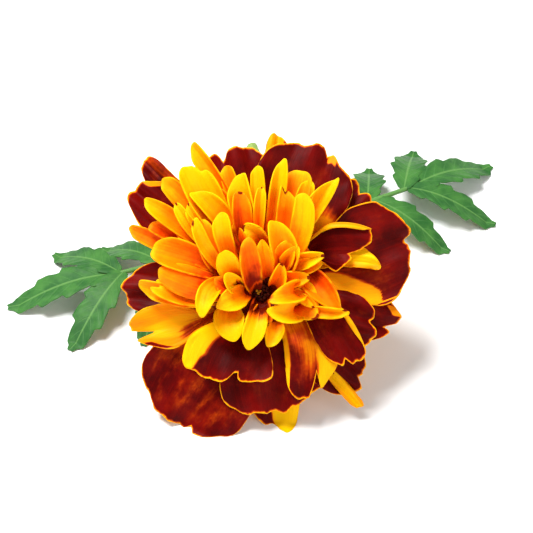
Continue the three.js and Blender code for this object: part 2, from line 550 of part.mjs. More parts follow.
// The middle surface of a leaflet: lance-shaped, toothed, folded a little along its rib and
// drooping to the table at its tip. t runs to the tip and u from edge to edge; body is the lance
// shape, and tooth cuts into it.
function leafletPoint(leaf, row, t, u) {
  const [place, side, angle, fullLength, fullWidth] = row;
  const length = fullLength * leaf.size;
  const root = ribPoint(leaf, place);
  const ahead = ribPoint(leaf, Math.min(place + 0.02, 1)).sub(ribPoint(leaf, place - 0.02));
  const heading = Math.atan2(ahead.y, ahead.x) + radians(angle) * (side || 0.3);
  const tooth = 1 - TOOTH_DEPTH + TOOTH_DEPTH * Math.cos(2 * Math.PI * TEETH * t);
  const body = Math.max(Math.sin(Math.PI * clamp(0.08 + 0.88 * t, 0, 1) ** 0.9), 0) ** 0.8;
  const half = fullWidth * leaf.size / 2 * body * tooth;
  const s = t + 0.06 * Math.abs(u) * tooth * body;
  const arch = leaf.size * BLADE_DROOP * Math.sin(Math.PI * s);
  const droop = root.z * BLADE_DROOP * Math.max(s, 0) ** 1.5;
  const z = Math.max(root.z + arch - droop + BLADE_FOLD * Math.abs(u) * body, LEAF_THICKNESS / 2);
  return new THREE.Vector3(
    root.x + length * s * Math.cos(heading) - half * u * Math.sin(heading),
    root.y + length * s * Math.sin(heading) + half * u * Math.cos(heading),
    z,
  );
}

function leafSolid(leaf) {
  const stations = Array.from({ length: RIB.rows + 1 }, (_, i) => {
    const s = RIB.reach * i / RIB.rows;
    const p = ribPoint(leaf, s);
    return [p.x, p.y, p.z, RIB.start + (RIB.end - RIB.start) * i / RIB.rows];
  });
  const rows = 2 * TEETH;
  const ts = Array.from({ length: rows + 1 }, (_, i) => i / rows);
  const leaflets = LEAFLETS.map((row) => (
    solidOf(sheet((t, u) => leafletPoint(leaf, row, t, u), ts, [-1, 0, 1], LEAF_THICKNESS))));
  return join([rod(stations, RIB.sides), ...leaflets]);
}

function mesh(name, solid, material) {
  const made = new THREE.Mesh(geometryOf(solid), material);
  made.name = name;
  return made;
}

const flower = new THREE.Group();
const head = new THREE.Group();
head.position.copy(HEAD_AT);
head.rotation.x = radians(HEAD_LEAN);
flower.add(head);

const rays = rayFlorets(petalSolid, 0).subtract(underTable(head));
const raySpace = rayFlorets(swollenPetal, GAP);
head.add(mesh('ray_florets', mainBody(rays), COLOURS.ray));
head.add(mesh('crest_florets', mainBody(crestFlorets().subtract(raySpace)), COLOURS.crest));
head.add(mesh('eye_florets', eyeFlorets(), COLOURS.eye));
head.add(mesh('involucre', involucre(), COLOURS.cup));

// The stalk and the leaves are placed from the point on the table under the head.
const ground = new THREE.Group();
ground.position.set(HEAD_AT.x, HEAD_AT.y, 0);
flower.add(ground);
const table = underTable(ground);
const stalk = rod(STALK, STALK_SIDES);
ground.add(mesh('stalk', mainBody(stalk.subtract(table)), COLOURS.stalk));
const swollen = rod(STALK.map(([x, y, z, radius]) => [x, y, z, radius + GAP]), STALK_SIDES);
for (const leaf of LEAVES) {
  const blade = leafSolid(leaf).subtract(table).subtract(swollen);
  ground.add(mesh(leaf.name, mainBody(blade), COLOURS.leaf));
}

export default flower;
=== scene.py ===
import math
from types import SimpleNamespace as Values

import bpy
import numpy as np
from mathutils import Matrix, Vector


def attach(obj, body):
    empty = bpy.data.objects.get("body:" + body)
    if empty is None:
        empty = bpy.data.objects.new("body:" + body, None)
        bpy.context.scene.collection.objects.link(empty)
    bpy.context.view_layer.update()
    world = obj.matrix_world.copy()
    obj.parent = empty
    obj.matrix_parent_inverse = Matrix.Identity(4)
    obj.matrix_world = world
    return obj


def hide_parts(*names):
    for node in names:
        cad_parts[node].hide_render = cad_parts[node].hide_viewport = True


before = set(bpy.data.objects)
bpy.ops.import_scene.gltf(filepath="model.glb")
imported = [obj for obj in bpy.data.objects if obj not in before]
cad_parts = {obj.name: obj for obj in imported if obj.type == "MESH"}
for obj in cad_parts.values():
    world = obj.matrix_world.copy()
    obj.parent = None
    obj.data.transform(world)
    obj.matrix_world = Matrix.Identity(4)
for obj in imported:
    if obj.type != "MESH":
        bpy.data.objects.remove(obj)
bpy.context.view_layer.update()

# The looks of a French marigold as picked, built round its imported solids.
# Shapes are worked out in millimetres and become metres when a mesh is made.
# Head pieces are made in the head's own frame: +Z out of its face, +Y up the face.
MM = 0.001
HEAD_LEAN = math.radians(45)
HEAD_AT = np.array([0.5, -20.11, 17.8])
GOLDEN_ANGLE = math.radians(137.508)
TURN = 2 * math.pi

# Ray florets, and the [radius, height] profile of the disc they grow from.
RAY_ROOT_RADIUS = 4.4
RAY_ROOT_HEIGHT = 0.1
DISC = [(0, -1.0), (5.2, -1.0), (5.8, -0.6), (5.8, 0.2), (5.0, 0.6), (0, 0.6)]
# Azimuth, reach, width, tip height, knee height, knee place, cup, curl of the left and right side,
# notch place and depth, skew of the tip, height of its waves, how far its root is turned from its
# tip, and its roll about its own line.
RAYS = [
    [-123.5, 30.2, 22.6, 0.6, 5.6, 0.42, 6, 0, 0, 0.3, 0.07, 0.03, 0.7, -4, 0],
    [-116, 18.1, 17.5, 7.2, 7.4, 0.58, 10, 0, 15, 0.25, 0.15, -0.16, 0.5, 0, 0],
    [-83, 22.8, 20.0, 3.4, 6.4, 0.45, -8, 0, 0, 0.3, 0.03, -0.02, 0.5, 0, -6],
    [-88.5, 25.4, 13.4, -0.4, 3.7, 0.42, 0, 0, 0, 0.0, 0.0, 0.22, 0.3, 0, 0],
    [-64.5, 21.3, 10.2, 6.6, 7.0, 0.58, -10, 0, 0, 0.15, 0.2, -0.12, 0.4, 36, 0],
    [-38, 22.0, 9.0, 7.4, 7.8, 0.52, -6, 200, 0, -0.3, 0.06, -0.02, 0.3, 40, 0],
    [-44, 25.8, 10.5, 1.2, 5.0, 0.42, 0, 0, 0, 0.2, 0.04, 0.0, 0.5, 0, 0],
    [-49.5, 28.6, 2.4, 1.4, 3.4, 0.42, 30, 0, 0, 0.0, 0.0, 0.0, 0.2, 0, 0],
    [-17, 22.6, 10.0, 4.6, 6.2, 0.45, -10, 0, 0, 0.1, 0.04, -0.05, 0.4, 0, 0],
    [-11, 26.1, 11.0, 1.6, 5.2, 0.42, 0, 0, 0, -0.4, 0.06, 0.0, 0.5, 0, 0],
    [19, 29.5, 19.4, 3.0, 6.6, 0.42, 6, 0, 0, 0.05, 0.03, 0.04, 0.7, 0, 4],
    [16.2, 22.3, 4.4, 7.4, 7.0, 0.74, 6, 0, 0, 0.0, 0.0, -0.16, 0.2, 16, 0],
    [24.5, 20.9, 11.0, 8.6, 8.8, 0.66, -8, 200, 0, -0.35, 0.08, 0.14, 0.3, 26, 0],
    [45, 27.7, 12.5, 1.0, 4.6, 0.42, 0, 0, 0, 0.0, 0.03, 0.0, 0.4, 0, 0],
    [69, 29.5, 18.5, 3.0, 6.2, 0.42, 4, 0, 0, -0.3, 0.04, 0.0, 0.6, 0, 4],
    [84, 30.0, 4.6, 0.4, 4.0, 0.42, 0, 0, 0, 0.0, 0.0, 0.0, 0.4, 0, 0],
    [103, 27.9, 16.0, 1.2, 5.0, 0.42, 0, 0, 0, 0.2, 0.05, 0.0, 0.6, 0, 0],
    [133.5, 32.6, 6.4, 1.0, 5.2, 0.42, 0, 0, 0, 0.0, 0.0, -0.08, 0.3, 0, 0],
    [140.5, 31.2, 10.2, 3.0, 6.2, 0.42, 0, 0, 0, 0.1, 0.0, 0.0, 0.5, 0, 0],
    [177.5, 26.3, 9.6, 1.6, 5.4, 0.42, 0, 0, 0, 0.0, 0.0, 0.05, 0.5, 0, 0],
    [-162, 25.4, 9.0, 4.0, 6.8, 0.45, 10, 40, 0, 0.1, 0.18, -0.08, 0.3, 8, 0],
]
# Rays that open into their blade late, or below 0 are wide from the start: the share of their
# length where they begin to open.
OPENS = {4: -0.8, 10: 0.3, 12: 0.36, 20: 0.4}
# Markings of each ray, in the same order: how far its golden base reaches, its golden streaks (place
# from the right edge -1 to the left 1, half width, reach, yellowness) and its orange mottling.
MARKS = [
    (0.15, [], 1.0),
    (0.35, [(-0.95, 0.56, 1.15, 1.0)], 0.25),
    (0.20, [], 0.15),
    (0.20, [(0.75, 0.9, 1.2, 1.0)], 0.2),
    (0.12, [(0.60, 0.50, 1.4, 0.6), (-1.0, 0.25, 1.15, 0.5)], 1.0),
    (0.12, [(0.9, 0.2, 1.1, 0.3)], 0.3),
    (0.20, [], 0.2),
    (2.40, [(0.0, 1.0, 1.2, 0.8)], 0.3),
    (0.35, [], 0.5),
    (0.20, [], 0.2),
    (0.35, [(-0.95, 1.7, 0.86, 0.2), (1.0, 0.35, 0.55, 0.2)], 0.35),
    (2.40, [(0.0, 1.0, 1.2, 0.9)], 0.3),
    (0.35, [(-1.0, 0.22, 1.1, 0.1)], 0.3),
    (0.30, [], 0.2),
    (0.30, [], 0.3),
    (1.20, [(0.2, 1.2, 1.3, 0.3)], 0.6),
    (0.20, [], 0.2),
    (0.20, [], 0.6),
    (0.30, [], 0.2),
    (0.30, [], 0.2),
    (2.40, [(0.1, 1.2, 1.0, 0.5)], 0.3),
]

# Rays with a patch at their tip: its place, half width, where it begins, and 1 golden or 0 red.
TIP_PATCHES = {9: (0.25, 0.2, 0.94, 1.0), 14: (-0.42, 0.14, 0.95, 1.0), 18: (-0.6, 0.3, 0.95, 1.0),
               20: (0.7, 0.3, 0.92, 0.0)}
# Rays with a warmer base: how far it reaches, at which side it reaches farthest, how golden it is.
WARM_BASES = {0: (0.85, -0.8, 0.42), 4: (1.1, 0.4, 0.52), 5: (0.4, 0.0, 0.4), 14: (0.82, -0.8, 0.9),
              17: (1.4, -0.5, 0.38), 20: (0.95, 0.7, 0.36)}

# Crest florets, and how much they differ from each other: mm, degrees and shares of their length.
LOBE_ROOT_RADIUS = 4.8
LOBE_ROOT_HEIGHT = 4.4
LOBE_VARIES = Values(skew=0.18, bend=5.0, twist=50, cup=35, lift=1.5, sink=0.5)
# Tip x, y and height, throat x and y, width, cup, tone from orange 0 to yellow 1, tip from pointed 0
# to blunt 1, and fold along the middle in degrees (less than 0 is a ridge).
LOBES = [
    [-13.2, 27.3, 8.0, -5.6, 18.0, 4.2, 35, 0.5, 0.6, 18],
    [-13.6, 23.4, 8.5, -8.6, 15.6, 7.2, 35, 0.85, 0.8, 7],
    [-18.4, 21.0, 8.5, -11.2, 15.1, 4.4, 35, 0.4, 0.4, 0],
    [-21.9, 16.1, 8.2, -14.2, 11.7, 4.3, 35, 0.5, 0.4, 7],
    [-20.8, 12.6, 7.4, -13.7, 10.6, 3.6, 35, -0.1, 0.5, 10],
    [-24.8, 11.9, 6.6, -17.1, 8.7, 3.8, 35, 0.1, 0.3, 7],
    [-20.3, 7.8, 10.0, -11.4, 4.9, 6.8, 40, 0.3, 1.0, 10],
    [-18.9, 4.2, 12.0, -10.4, 0.8, 6.8, -30, 0.3, 0.8, -24],
    [-22.9, 1.2, 8.5, -12.0, -2.2, 4.4, 35, 0.4, 0.5, 0],
    [-20.1, 1.8, 8.8, -12.4, -0.8, 5.0, 35, 0.5, 0.6, 7],
    [-15.9, 16.5, 11.0, -12.2, 10.1, 3.1, 30, 0.7, 0.2, 14],
    [-12.8, 13.2, 12.5, -11.0, 5.5, 2.9, 30, 0.9, 0.5, 7],
    [-10.8, 13.5, 11.0, -8.7, 4.1, 4.3, 35, 0.15, 0.7, 0],
    [-7.5, 14.8, 12.0, -7.3, 7.5, 4.3, 40, 0.7, 0.7, 10],
    [-12.5, 18.5, 9.5, -6.6, 13.0, 4.9, 35, 0.7, 0.5, 14],
    [-9.3, 19.2, 8.0, -4.9, 13.7, 4.5, 35, 0.1, 0.6, 0],
    [-3.9, 21.7, 10.0, -3.3, 12.1, 5.6, 60, 0.9, 0.9, 0],
    [-3.9, 18.6, 11.2, -3.1, 11.4, 4.0, 40, 0.1, 0.6, 0],
    [-0.9, 23.4, 9.0, -0.2, 15.1, 3.2, 35, 0.8, 0.6, 10],
    [3.0, 24.0, 10.0, 1.5, 14.5, 4.0, 35, 0.85, 0.6, 17],
    [0.0, 19.4, 11.5, -0.4, 13.3, 3.0, 35, 0.7, 0.3, 21],
    [6.4, 22.7, 9.0, 5.1, 15.2, 7.4, 25, 0.35, 1.0, 0],
    [13.3, 20.9, 9.5, 8.7, 14.0, 4.9, 35, 0.75, 0.1, 21],
    [8.8, 20.7, 10.0, 7.4, 14.2, 4.0, 35, 0.5, 0.5, 18],
    [4.4, 18.9, 11.0, 4.4, 12.0, 4.7, 40, 0.5, 0.9, 0],
    [7.6, 18.3, 12.5, 9.0, 9.0, 4.3, 35, 0.85, 0.6, -10],
    [-3.5, 11.5, 13.0, 0.4, 12.2, 4.5, 25, 0.7, 0.6, 14],
    [2.1, 13.3, 13.5, 4.4, 6.2, 6.0, 35, 0.6, 0.8, 14],
    [5.1, 9.8, 12.6, 4.2, 5.3, 4.9, 35, 0.4, 0.6, 10],
    [7.0, 8.6, 12.6, 4.8, 5.0, 3.8, 35, 0.4, 0.5, 7],
    [11.6, 6.9, 11.5, 5.4, 5.2, 4.0, 35, 0.7, 0.2, 21],
    [11.0, 5.5, 11.0, 5.2, 4.3, 3.6, 35, 0.3, 0.4, 7],
    [-3.5, 9.8, 13.6, -1.9, 0.2, 4.1, 20, 0.0, 1.0, 0],
    [0.0, 9.8, 12.4, 1.6, 3.0, 3.4, 30, 0.5, 0.4, 7],
    [-7.3, 7.7, 14.0, -5.7, 3.1, 4.9, 30, 0.9, 0.9, 4],
    [-6.8, 3.7, 13.5, -4.6, 1.7, 3.6, 40, 1.0, 0.8, -7],
    [-8.2, -2.7, 12.5, -3.5, 0.2, 4.7, 30, 0.7, 0.4, -7],
    [-10.2, -4.4, 13.0, -10.4, 3.0, 3.8, 30, 0.75, 0.5, -14],
    [-4.6, -8.8, 10.0, -8.5, -3.7, 6.0, 30, 0.9, 0.7, -7],
    [-2.4, -10.4, 11.0, -0.3, -2.3, 4.6, 35, 1.0, 0.9, 0],
    [1.3, -1.2, 14.4, 8.4, -0.3, 5.4, 35, 0.5, 0.9, 8],
    [0.9, -3.2, 13.6, 8.2, -4.2, 5.6, 35, 0.85, 0.8, 8],
    [10.3, -2.4, 10.4, 6.3, 2.3, 4.9, 35, 0.5, 0.5, 7],
    [13.9, -3.5, 9.5, 8.5, 4.9, 5.4, 35, 0.1, 0.3, 7],
    [10.2, -4.5, 10.4, 6.8, -1.9, 5.4, 35, 0.2, 0.6, 7],
    [15.8, -3.0, 10.0, 9.9, -3.5, 2.9, 30, 0.6, 0.2, 21],
    [1.1, -10.1, 8.5, 2.9, -6.3, 3.6, 30, 0.8, 0.5, 7],
    [-5.5, 12.1, 10.0, -3.5, 7.4, 4.3, 35, 0.0, 0.6, 7],
    [3.8, 5.6, 11.5, 2.0, 1.6, 3.8, 35, 0.4, 0.6, 18],
    [-8.7, 2.5, 12.0, -4.8, 0.6, 4.5, 35, -0.3, 0.6, 0],
    [-13.2, 16.4, 10.5, -11.3, 9.5, 2.7, 30, 0.6, 0.4, 14],
    [9.0, 2.8, 10.8, 3.2, 1.8, 3.6, 35, 0.5, 0.5, 10],
    [-6.8, 23.4, 8.2, -4.4, 16.4, 3.4, 35, 0.3, 0.7, 7],
]
# Small lobes on a spiral between the others: how many, from and to which radius, their width, reach
# and height, how much the height varies and how much it falls outwards, how near they keep below
# the middle, the lower left corner that has none, their cup, and how much tone and fold vary.
FILL = Values(
    count=34, inner=3.2, outer=11.5, width=4.4, reach=4.2, height=8.4, varies=1.6, fall=1.8,
    below=0.4, left=-3.0, left_above=2.0, cup=40, tone=0.5, fold=20,
)
# The crest is off the head's middle: the shift of its outer part, and the radii over which it grows.
CREST_SHIFT = Values(x=-4.0, y=4.0, inner=3.6, outer=10)

# Lobes with a notch in their tip: its place and its depth as a share of their length.
NOTCHED = {1: (-0.5, 0.07), 9: (0.1, 0.1), 24: (0.3, 0.07), 34: (0.1, 0.04)}
# Lobes whose tip leans much more, or not at all, to one side: the share of their length.
SKEWED = {6: 0.0, 19: -0.1, 22: -0.1, 24: 0.12}
# How far from the middle the feet of the lobes turn dark red, and where it reaches further.
HEART_REACH = 2.7
HEART_REACHES = {32: 3.0, 39: 6.2, 36: 3.2}
# Lobes with a dark fleck along their tip.
FLECKED = {10, 11, 17, 20, 24, 26, 30, 42, 44, 45, 48, 50, 51}

# Crest core, whose dark colour is painted shade showing through the gaps between the lobes, its own
# shift off the middle, and the eye.
CORE = [
    (0, 0.9), (3.4, 1.1), (7.0, 4.4), (9.6, 5.6), (10.2, 6.6), (9.0, 7.4), (6.4, 7.8), (2.2, 7.6),
    (1.8, 6.6), (0, 6.6),
]
CORE_SHIFT = Values(x=-1.5, y=4.0, inner=3.6, outer=10)
EYE = Values(radius=1.5, floor=6.7, florets=17, floret_radius=0.28, height=8.6)

# Involucre: [radius, height] from its foot to its rim, its ribs, which reach their full depth at a row
# above its foot, the creases between them, its teeth, and the seat inside its rim.
CUP = [(2.9, -15.0), (3.9, -14.0), (4.9, -11.5), (5.6, -8.0), (6.2, -4.5), (6.9, -0.9)]
CUP_RIBS = 9
CUP_RIB_DEPTH = 0.07
CUP_RIBS_FULL_ROW = 20
CUP_CREASE = Values(width=0.16, depth=0.35)
CUP_TOOTH = 1.0
CUP_SEAT = Values(radius=6.15, floor=-1.3)

# Stalk: [x, y, z, radius] from under the cup to its cut end, from HEAD_AT's x and y.
STALK = [
    [0, 10.85, 6.95, 2.7], [0.1, 12.9, 5.1, 2.35], [0.4, 16.5, 3.0, 1.75], [0.9, 21, 1.75, 1.4],
    [1.4, 27, 1.25, 1.3], [1.6, 34, 1.2, 1.3], [1.2, 41, 1.15, 1.3], [0.4, 48, 1.15, 1.25],
    [-0.9, 55, 1.15, 1.25], [-2.4, 61, 1.15, 1.25],
]
# The pith in a cut end: its share of the radius, and how deep its middle has sunk.
PITH = Values(radius=0.55, sunk=0.5)

# Leaves: where each leaves the stalk, its heading, length and arch, and the size of its leaflets.
LEAVES = [
    Values(name="leaf_left", at=(-0.3, 26.5, 1.6), heading=203, length=47, arch=5.5, size=0.9),
    Values(name="leaf_right", at=(3.1, 28.0, 1.6), heading=22, length=48, arch=6.0, size=0.94),
]
# Leaflets: place along the rib, side (1 left, -1 right, 0 end), angle off it, length, width.
LEAFLETS = [
    [0.23, 1, 66, 13.0, 5.6], [0.27, -1, 64, 12.5, 5.4],
    [0.43, 1, 58, 19.5, 8.0], [0.46, -1, 56, 19.0, 7.8],
    [0.62, 1, 46, 21.0, 8.6], [0.64, -1, 48, 20.5, 8.2],
    [0.67, 0, 2, 24.0, 9.6],
]
# The teeth along each side, the share of a tooth that rises, its low and added width, and the veins.
TEETH = 4
TOOTH = Values(rise=0.78, low=0.74, more=0.28)
VEINS = 2 * TEETH
VEIN_SLANT = 0.14
# A leaf's rib: its radius at its two ends, where it begins and ends along its line, and its sides.
RIB = Values(start=0.9, end=0.4, begins=-0.02, ends=0.72, sides=16)
LEAF_THICKNESS = 0.6

# Thickness at the edge, how much more there is within, and over how many mm it grows.
RAY_SHEET = Values(edge=0.22, more=0.16, within=2.5)
LOBE_SHEET = Values(edge=0.22, more=0.2, within=1.2)
LEAF_SHEET = Values(edge=0.2, more=0.22, within=1)
MIDRIB = Values(height=0.25, half_width=0.09)
# A petal's cup angle: where it reaches its middle value, and how much farther on its last one.
CUP_CHANGES = Values(middle=0.45, run=0.4)
FOLD_WIDTH = 0.15
NOTCH_HALF_WIDTH = 1.1
# Fine forms of a ray's rim and blade: heights and wavelengths.
FRILL = Values(
    begins=0.72, broad=0.26, broad_wave=6.1, small=0.07, small_wave=2.6, rib=0.05, rib_wave=1.6,
)
# Fine forms of a lobe: the depth of its crease, and the heights of its ripple and rolled edge.
GROOVE = Values(crease=0.12, ripple=0.1, rolled=0.22)

# Fineness: grid lines along and across a petal, a lobe and a leaflet, and sides and rows of the rest.
RAY_GRID = (45, 41)
LOBE_GRID = (27, 19)
LEAFLET_GRID = (65, 25)
CORE_SIDES = 48
CUP_ROWS = 60
CUP_SIDES_A_RIB = 28
STALK_ROWS = 150
STALK_SIDES = 54
LEAF_RIB_ROWS = 60
EYE_SIDES = 32
BUD_SIDES = 12
ARC_STEPS = 12
# A lathe's rings stay this far from its axis.
AXIS_RADIUS = 0.01

# The photograph's view: the middle of the head is at this pixel, and the frame spans this many mm.
FRAME_PIXELS = 533
HEAD_PIXEL = (262, 292)
FRAME_SPAN = 101.3
CAMERA_DISTANCE = 330
SENSOR_WIDTH = 36
CAMERA_CLIP = (0.01, 10)

# Stage, in metres: half the side of the floor, and each lamp's name, place, size and energy.
FLOOR_HALF = 3.0
LAMPS = [("key", (-0.25, 0.05, 0.75), 0.35, 9.5), ("fill", (0.45, -0.55, 0.45), 0.6, 2.0)]
LAMP_TARGET = (0, -0.01, 0.02)
WORLD_STRENGTH = 0.42

# Colours in linear red, green and blue.
RED = Values(
    dark=(0.062, 0.0006, 0.0005), bright=(0.155, 0.0010, 0.0006), vein=(0.21, 0.003, 0.0012),
    glow=(0.36, 0.020, 0.0006), hot=(0.68, 0.085, 0.001), glint=(0.62, 0.25, 0.20),
)
GOLD = Values(
    deep=(0.93, 0.20, 0.0005), light=(1.0, 0.36, 0.001), yellow=(1.0, 0.55, 0.001),
    warm=(0.58, 0.055, 0.001), warm_rim=(0.58, 0.05, 0.001), rim=(1.0, 0.33, 0.001),
    pale_rim=(1.0, 0.50, 0.002), under=(0.95, 0.40, 0.002), under_vein=(0.55, 0.075, 0.001),
)
CREST = Values(
    throat=(0.20, 0.006, 0.0003), base=(0.80, 0.065, 0.0003), middle=(1.0, 0.20, 0.0003),
    tip=(1.0, 0.48, 0.0005), deep=(0.62, 0.055, 0.0005), rim=(1.0, 0.58, 0.0005),
    warm=(0.85, 0.08, 0.0005), stain=(0.13, 0.006, 0.0005), fleck=(0.22, 0.016, 0.0005),
)
BUD = Values(foot=(0.09, 0.014, 0.002), tip=(0.55, 0.26, 0.01), dark=(0.052, 0.006, 0.001))
CALYX = Values(
    green=(0.16, 0.22, 0.045), pale=(0.36, 0.38, 0.11), purple=(0.17, 0.055, 0.05),
    crease=(0.08, 0.07, 0.02),
)
STEM = Values(
    green=(0.17, 0.30, 0.05), pale=(0.31, 0.43, 0.11), blush=(0.24, 0.14, 0.06),
    pith=(0.62, 0.66, 0.36),
)
LEAF = Values(
    dark=(0.020, 0.105, 0.020), green=(0.055, 0.190, 0.034), vein=(0.07, 0.21, 0.05),
    midrib=(0.12, 0.28, 0.07), under=(0.07, 0.18, 0.06), under_pale=(0.11, 0.25, 0.08),
)
FLOOR = Values(shade=(0.90, 0.90, 0.90), pale=(0.93, 0.93, 0.93))
# How light gets into the cup and the stalk.
GREEN_SKIN = {"Subsurface_Weight": 0.1, "Subsurface_Scale": 0.0008,
              "Subsurface_Radius": (0.5, 1.0, 0.3)}


def smooth(start, end, x):
    """A soft step from 0 at start to 1 at end."""
    s = np.clip((x - start) / (end - start), 0, 1)
    return s * s * (3 - 2 * s)


def spread(i, k):
    """A fixed, well spread value from 0 to 1 for item i and use k."""
    return (i * 0.618034 + k * 0.754878) % 1


def unit(v):
    return v / np.maximum(np.linalg.norm(v, axis=-1, keepdims=True), 1e-9)


def spiral(i):
    return i * GOLDEN_ANGLE


class Surface:
    """Quads and point values of one piece, gathered sheet by sheet."""

    def __init__(self):
        self.points = []
        self.quads = []
        self.values = {}
        self.count = 0

    def add(self, points, quads, **values):
        self.points.append(points.reshape(-1, 3))
        self.quads.append(quads + self.count)
        size = self.points[-1].shape[0]
        for name, value in values.items():
            filled = np.broadcast_to(value, (size,)) if np.ndim(value) == 0 else np.ravel(value)
            self.values.setdefault(name, []).append(filled)
        self.count += size

    def piece(self, name, material, place):
        points = place(np.concatenate(self.points)) * MM
        quads = np.concatenate(self.quads)
        mesh = bpy.data.meshes.new(name)
        mesh.vertices.add(len(points))
        mesh.vertices.foreach_set("co", points.ravel().astype(np.float32))
        mesh.loops.add(quads.size)
        mesh.loops.foreach_set("vertex_index", quads.ravel().astype(np.int32))
        mesh.polygons.add(len(quads))
        mesh.polygons.foreach_set("loop_start", np.arange(0, quads.size, 4, dtype=np.int32))
        mesh.update(calc_edges=True)
        mesh.validate()
        mesh.shade_smooth()
        for key, parts in self.values.items():
            layer = mesh.attributes.new(key, "FLOAT", "POINT")
            layer.data.foreach_set("value", np.concatenate(parts).astype(np.float32))
        mesh.materials.append(material)
        made = bpy.data.objects.new(name, mesh)
        bpy.context.scene.collection.objects.link(made)
        return made


def grid_quads(rows, columns):
    i, j = np.meshgrid(np.arange(rows), np.arange(columns), indexing="ij")
    a = (i * (columns + 1) + j).ravel()
    b = a + columns + 1
    return np.stack([a, b, b + 1, a + 1], axis=1)


def sheet_quads(rows, columns):
    """The upper face, the lower face and the rim between them of a grid."""
    upper = grid_quads(rows, columns)
    under = (rows + 1) * (columns + 1)
    lower = upper[:, ::-1] + under
    width = columns + 1
    rim = list(range(columns))
    rim += [i * width + columns for i in range(rows)]
    rim += [rows * width + j for j in range(columns, 0, -1)]
    rim += [i * width for i in range(rows, 0, -1)]
    rim = np.array(rim)
    after = np.roll(rim, -1)
    return np.concatenate([upper, lower, np.stack([rim, after, after + under, rim + under], 1)])


def ring_quads(rings, sides):
    i, k = np.meshgrid(np.arange(rings - 1), np.arange(sides), indexing="ij")
    a = (i * sides + k).ravel()
    b = (i * sides + (k + 1) % sides).ravel()
    return np.stack([a, b, b + sides, a + sides], axis=1)


def add_sheet(surface, middle, thickness, **values):
    """A closed sheet round a grid of middle points. Thickness may differ from point to point."""
    along = np.gradient(middle, axis=0)
    across = np.gradient(middle, axis=1)
    normal = unit(np.cross(along, across)) * (np.asarray(thickness) / 2)[..., None]
    rows, columns = middle.shape[0] - 1, middle.shape[1] - 1
    points = np.concatenate([(middle + normal).reshape(-1, 3), (middle - normal).reshape(-1, 3)])
    size = (rows + 1) * (columns + 1)
    doubled = {key: np.tile(np.ravel(np.broadcast_to(v, middle.shape[:2])), 2)
               for key, v in values.items()}
    back = np.concatenate([np.zeros(size), np.ones(size)])
    surface.add(points, sheet_quads(rows, columns), back=back, **doubled)


def sheet_thickness(sheet, rim):
    return sheet.edge + sheet.more * smooth(0, sheet.within, rim)


def petal_grid(rows, columns):
    """Places t along and u across a petal, closer together near its edges."""
    v = np.linspace(-1, 1, columns)
    w = np.linspace(0, 1, rows)
    across = 0.25 * v + 0.75 * np.sin(v * math.pi / 2)
    along = 0.4 * w + 0.6 * np.sin(w * math.pi / 2)
    return np.meshgrid(along, across, indexing="ij")


def edge_distance(middle):
    """Distance in mm from each grid point to the nearest side or tip, along the grid lines."""
    across = np.linalg.norm(np.diff(middle, axis=1), axis=2)
    start = np.concatenate([np.zeros((len(middle), 1)), np.cumsum(across, axis=1)], axis=1)
    side = np.minimum(start, start[:, -1:] - start)
    along = np.linalg.norm(np.diff(middle, axis=0), axis=2)
    run = np.concatenate([np.zeros((1, middle.shape[1])), np.cumsum(along, axis=0)])
    return np.minimum(side, run[-1:] - run)


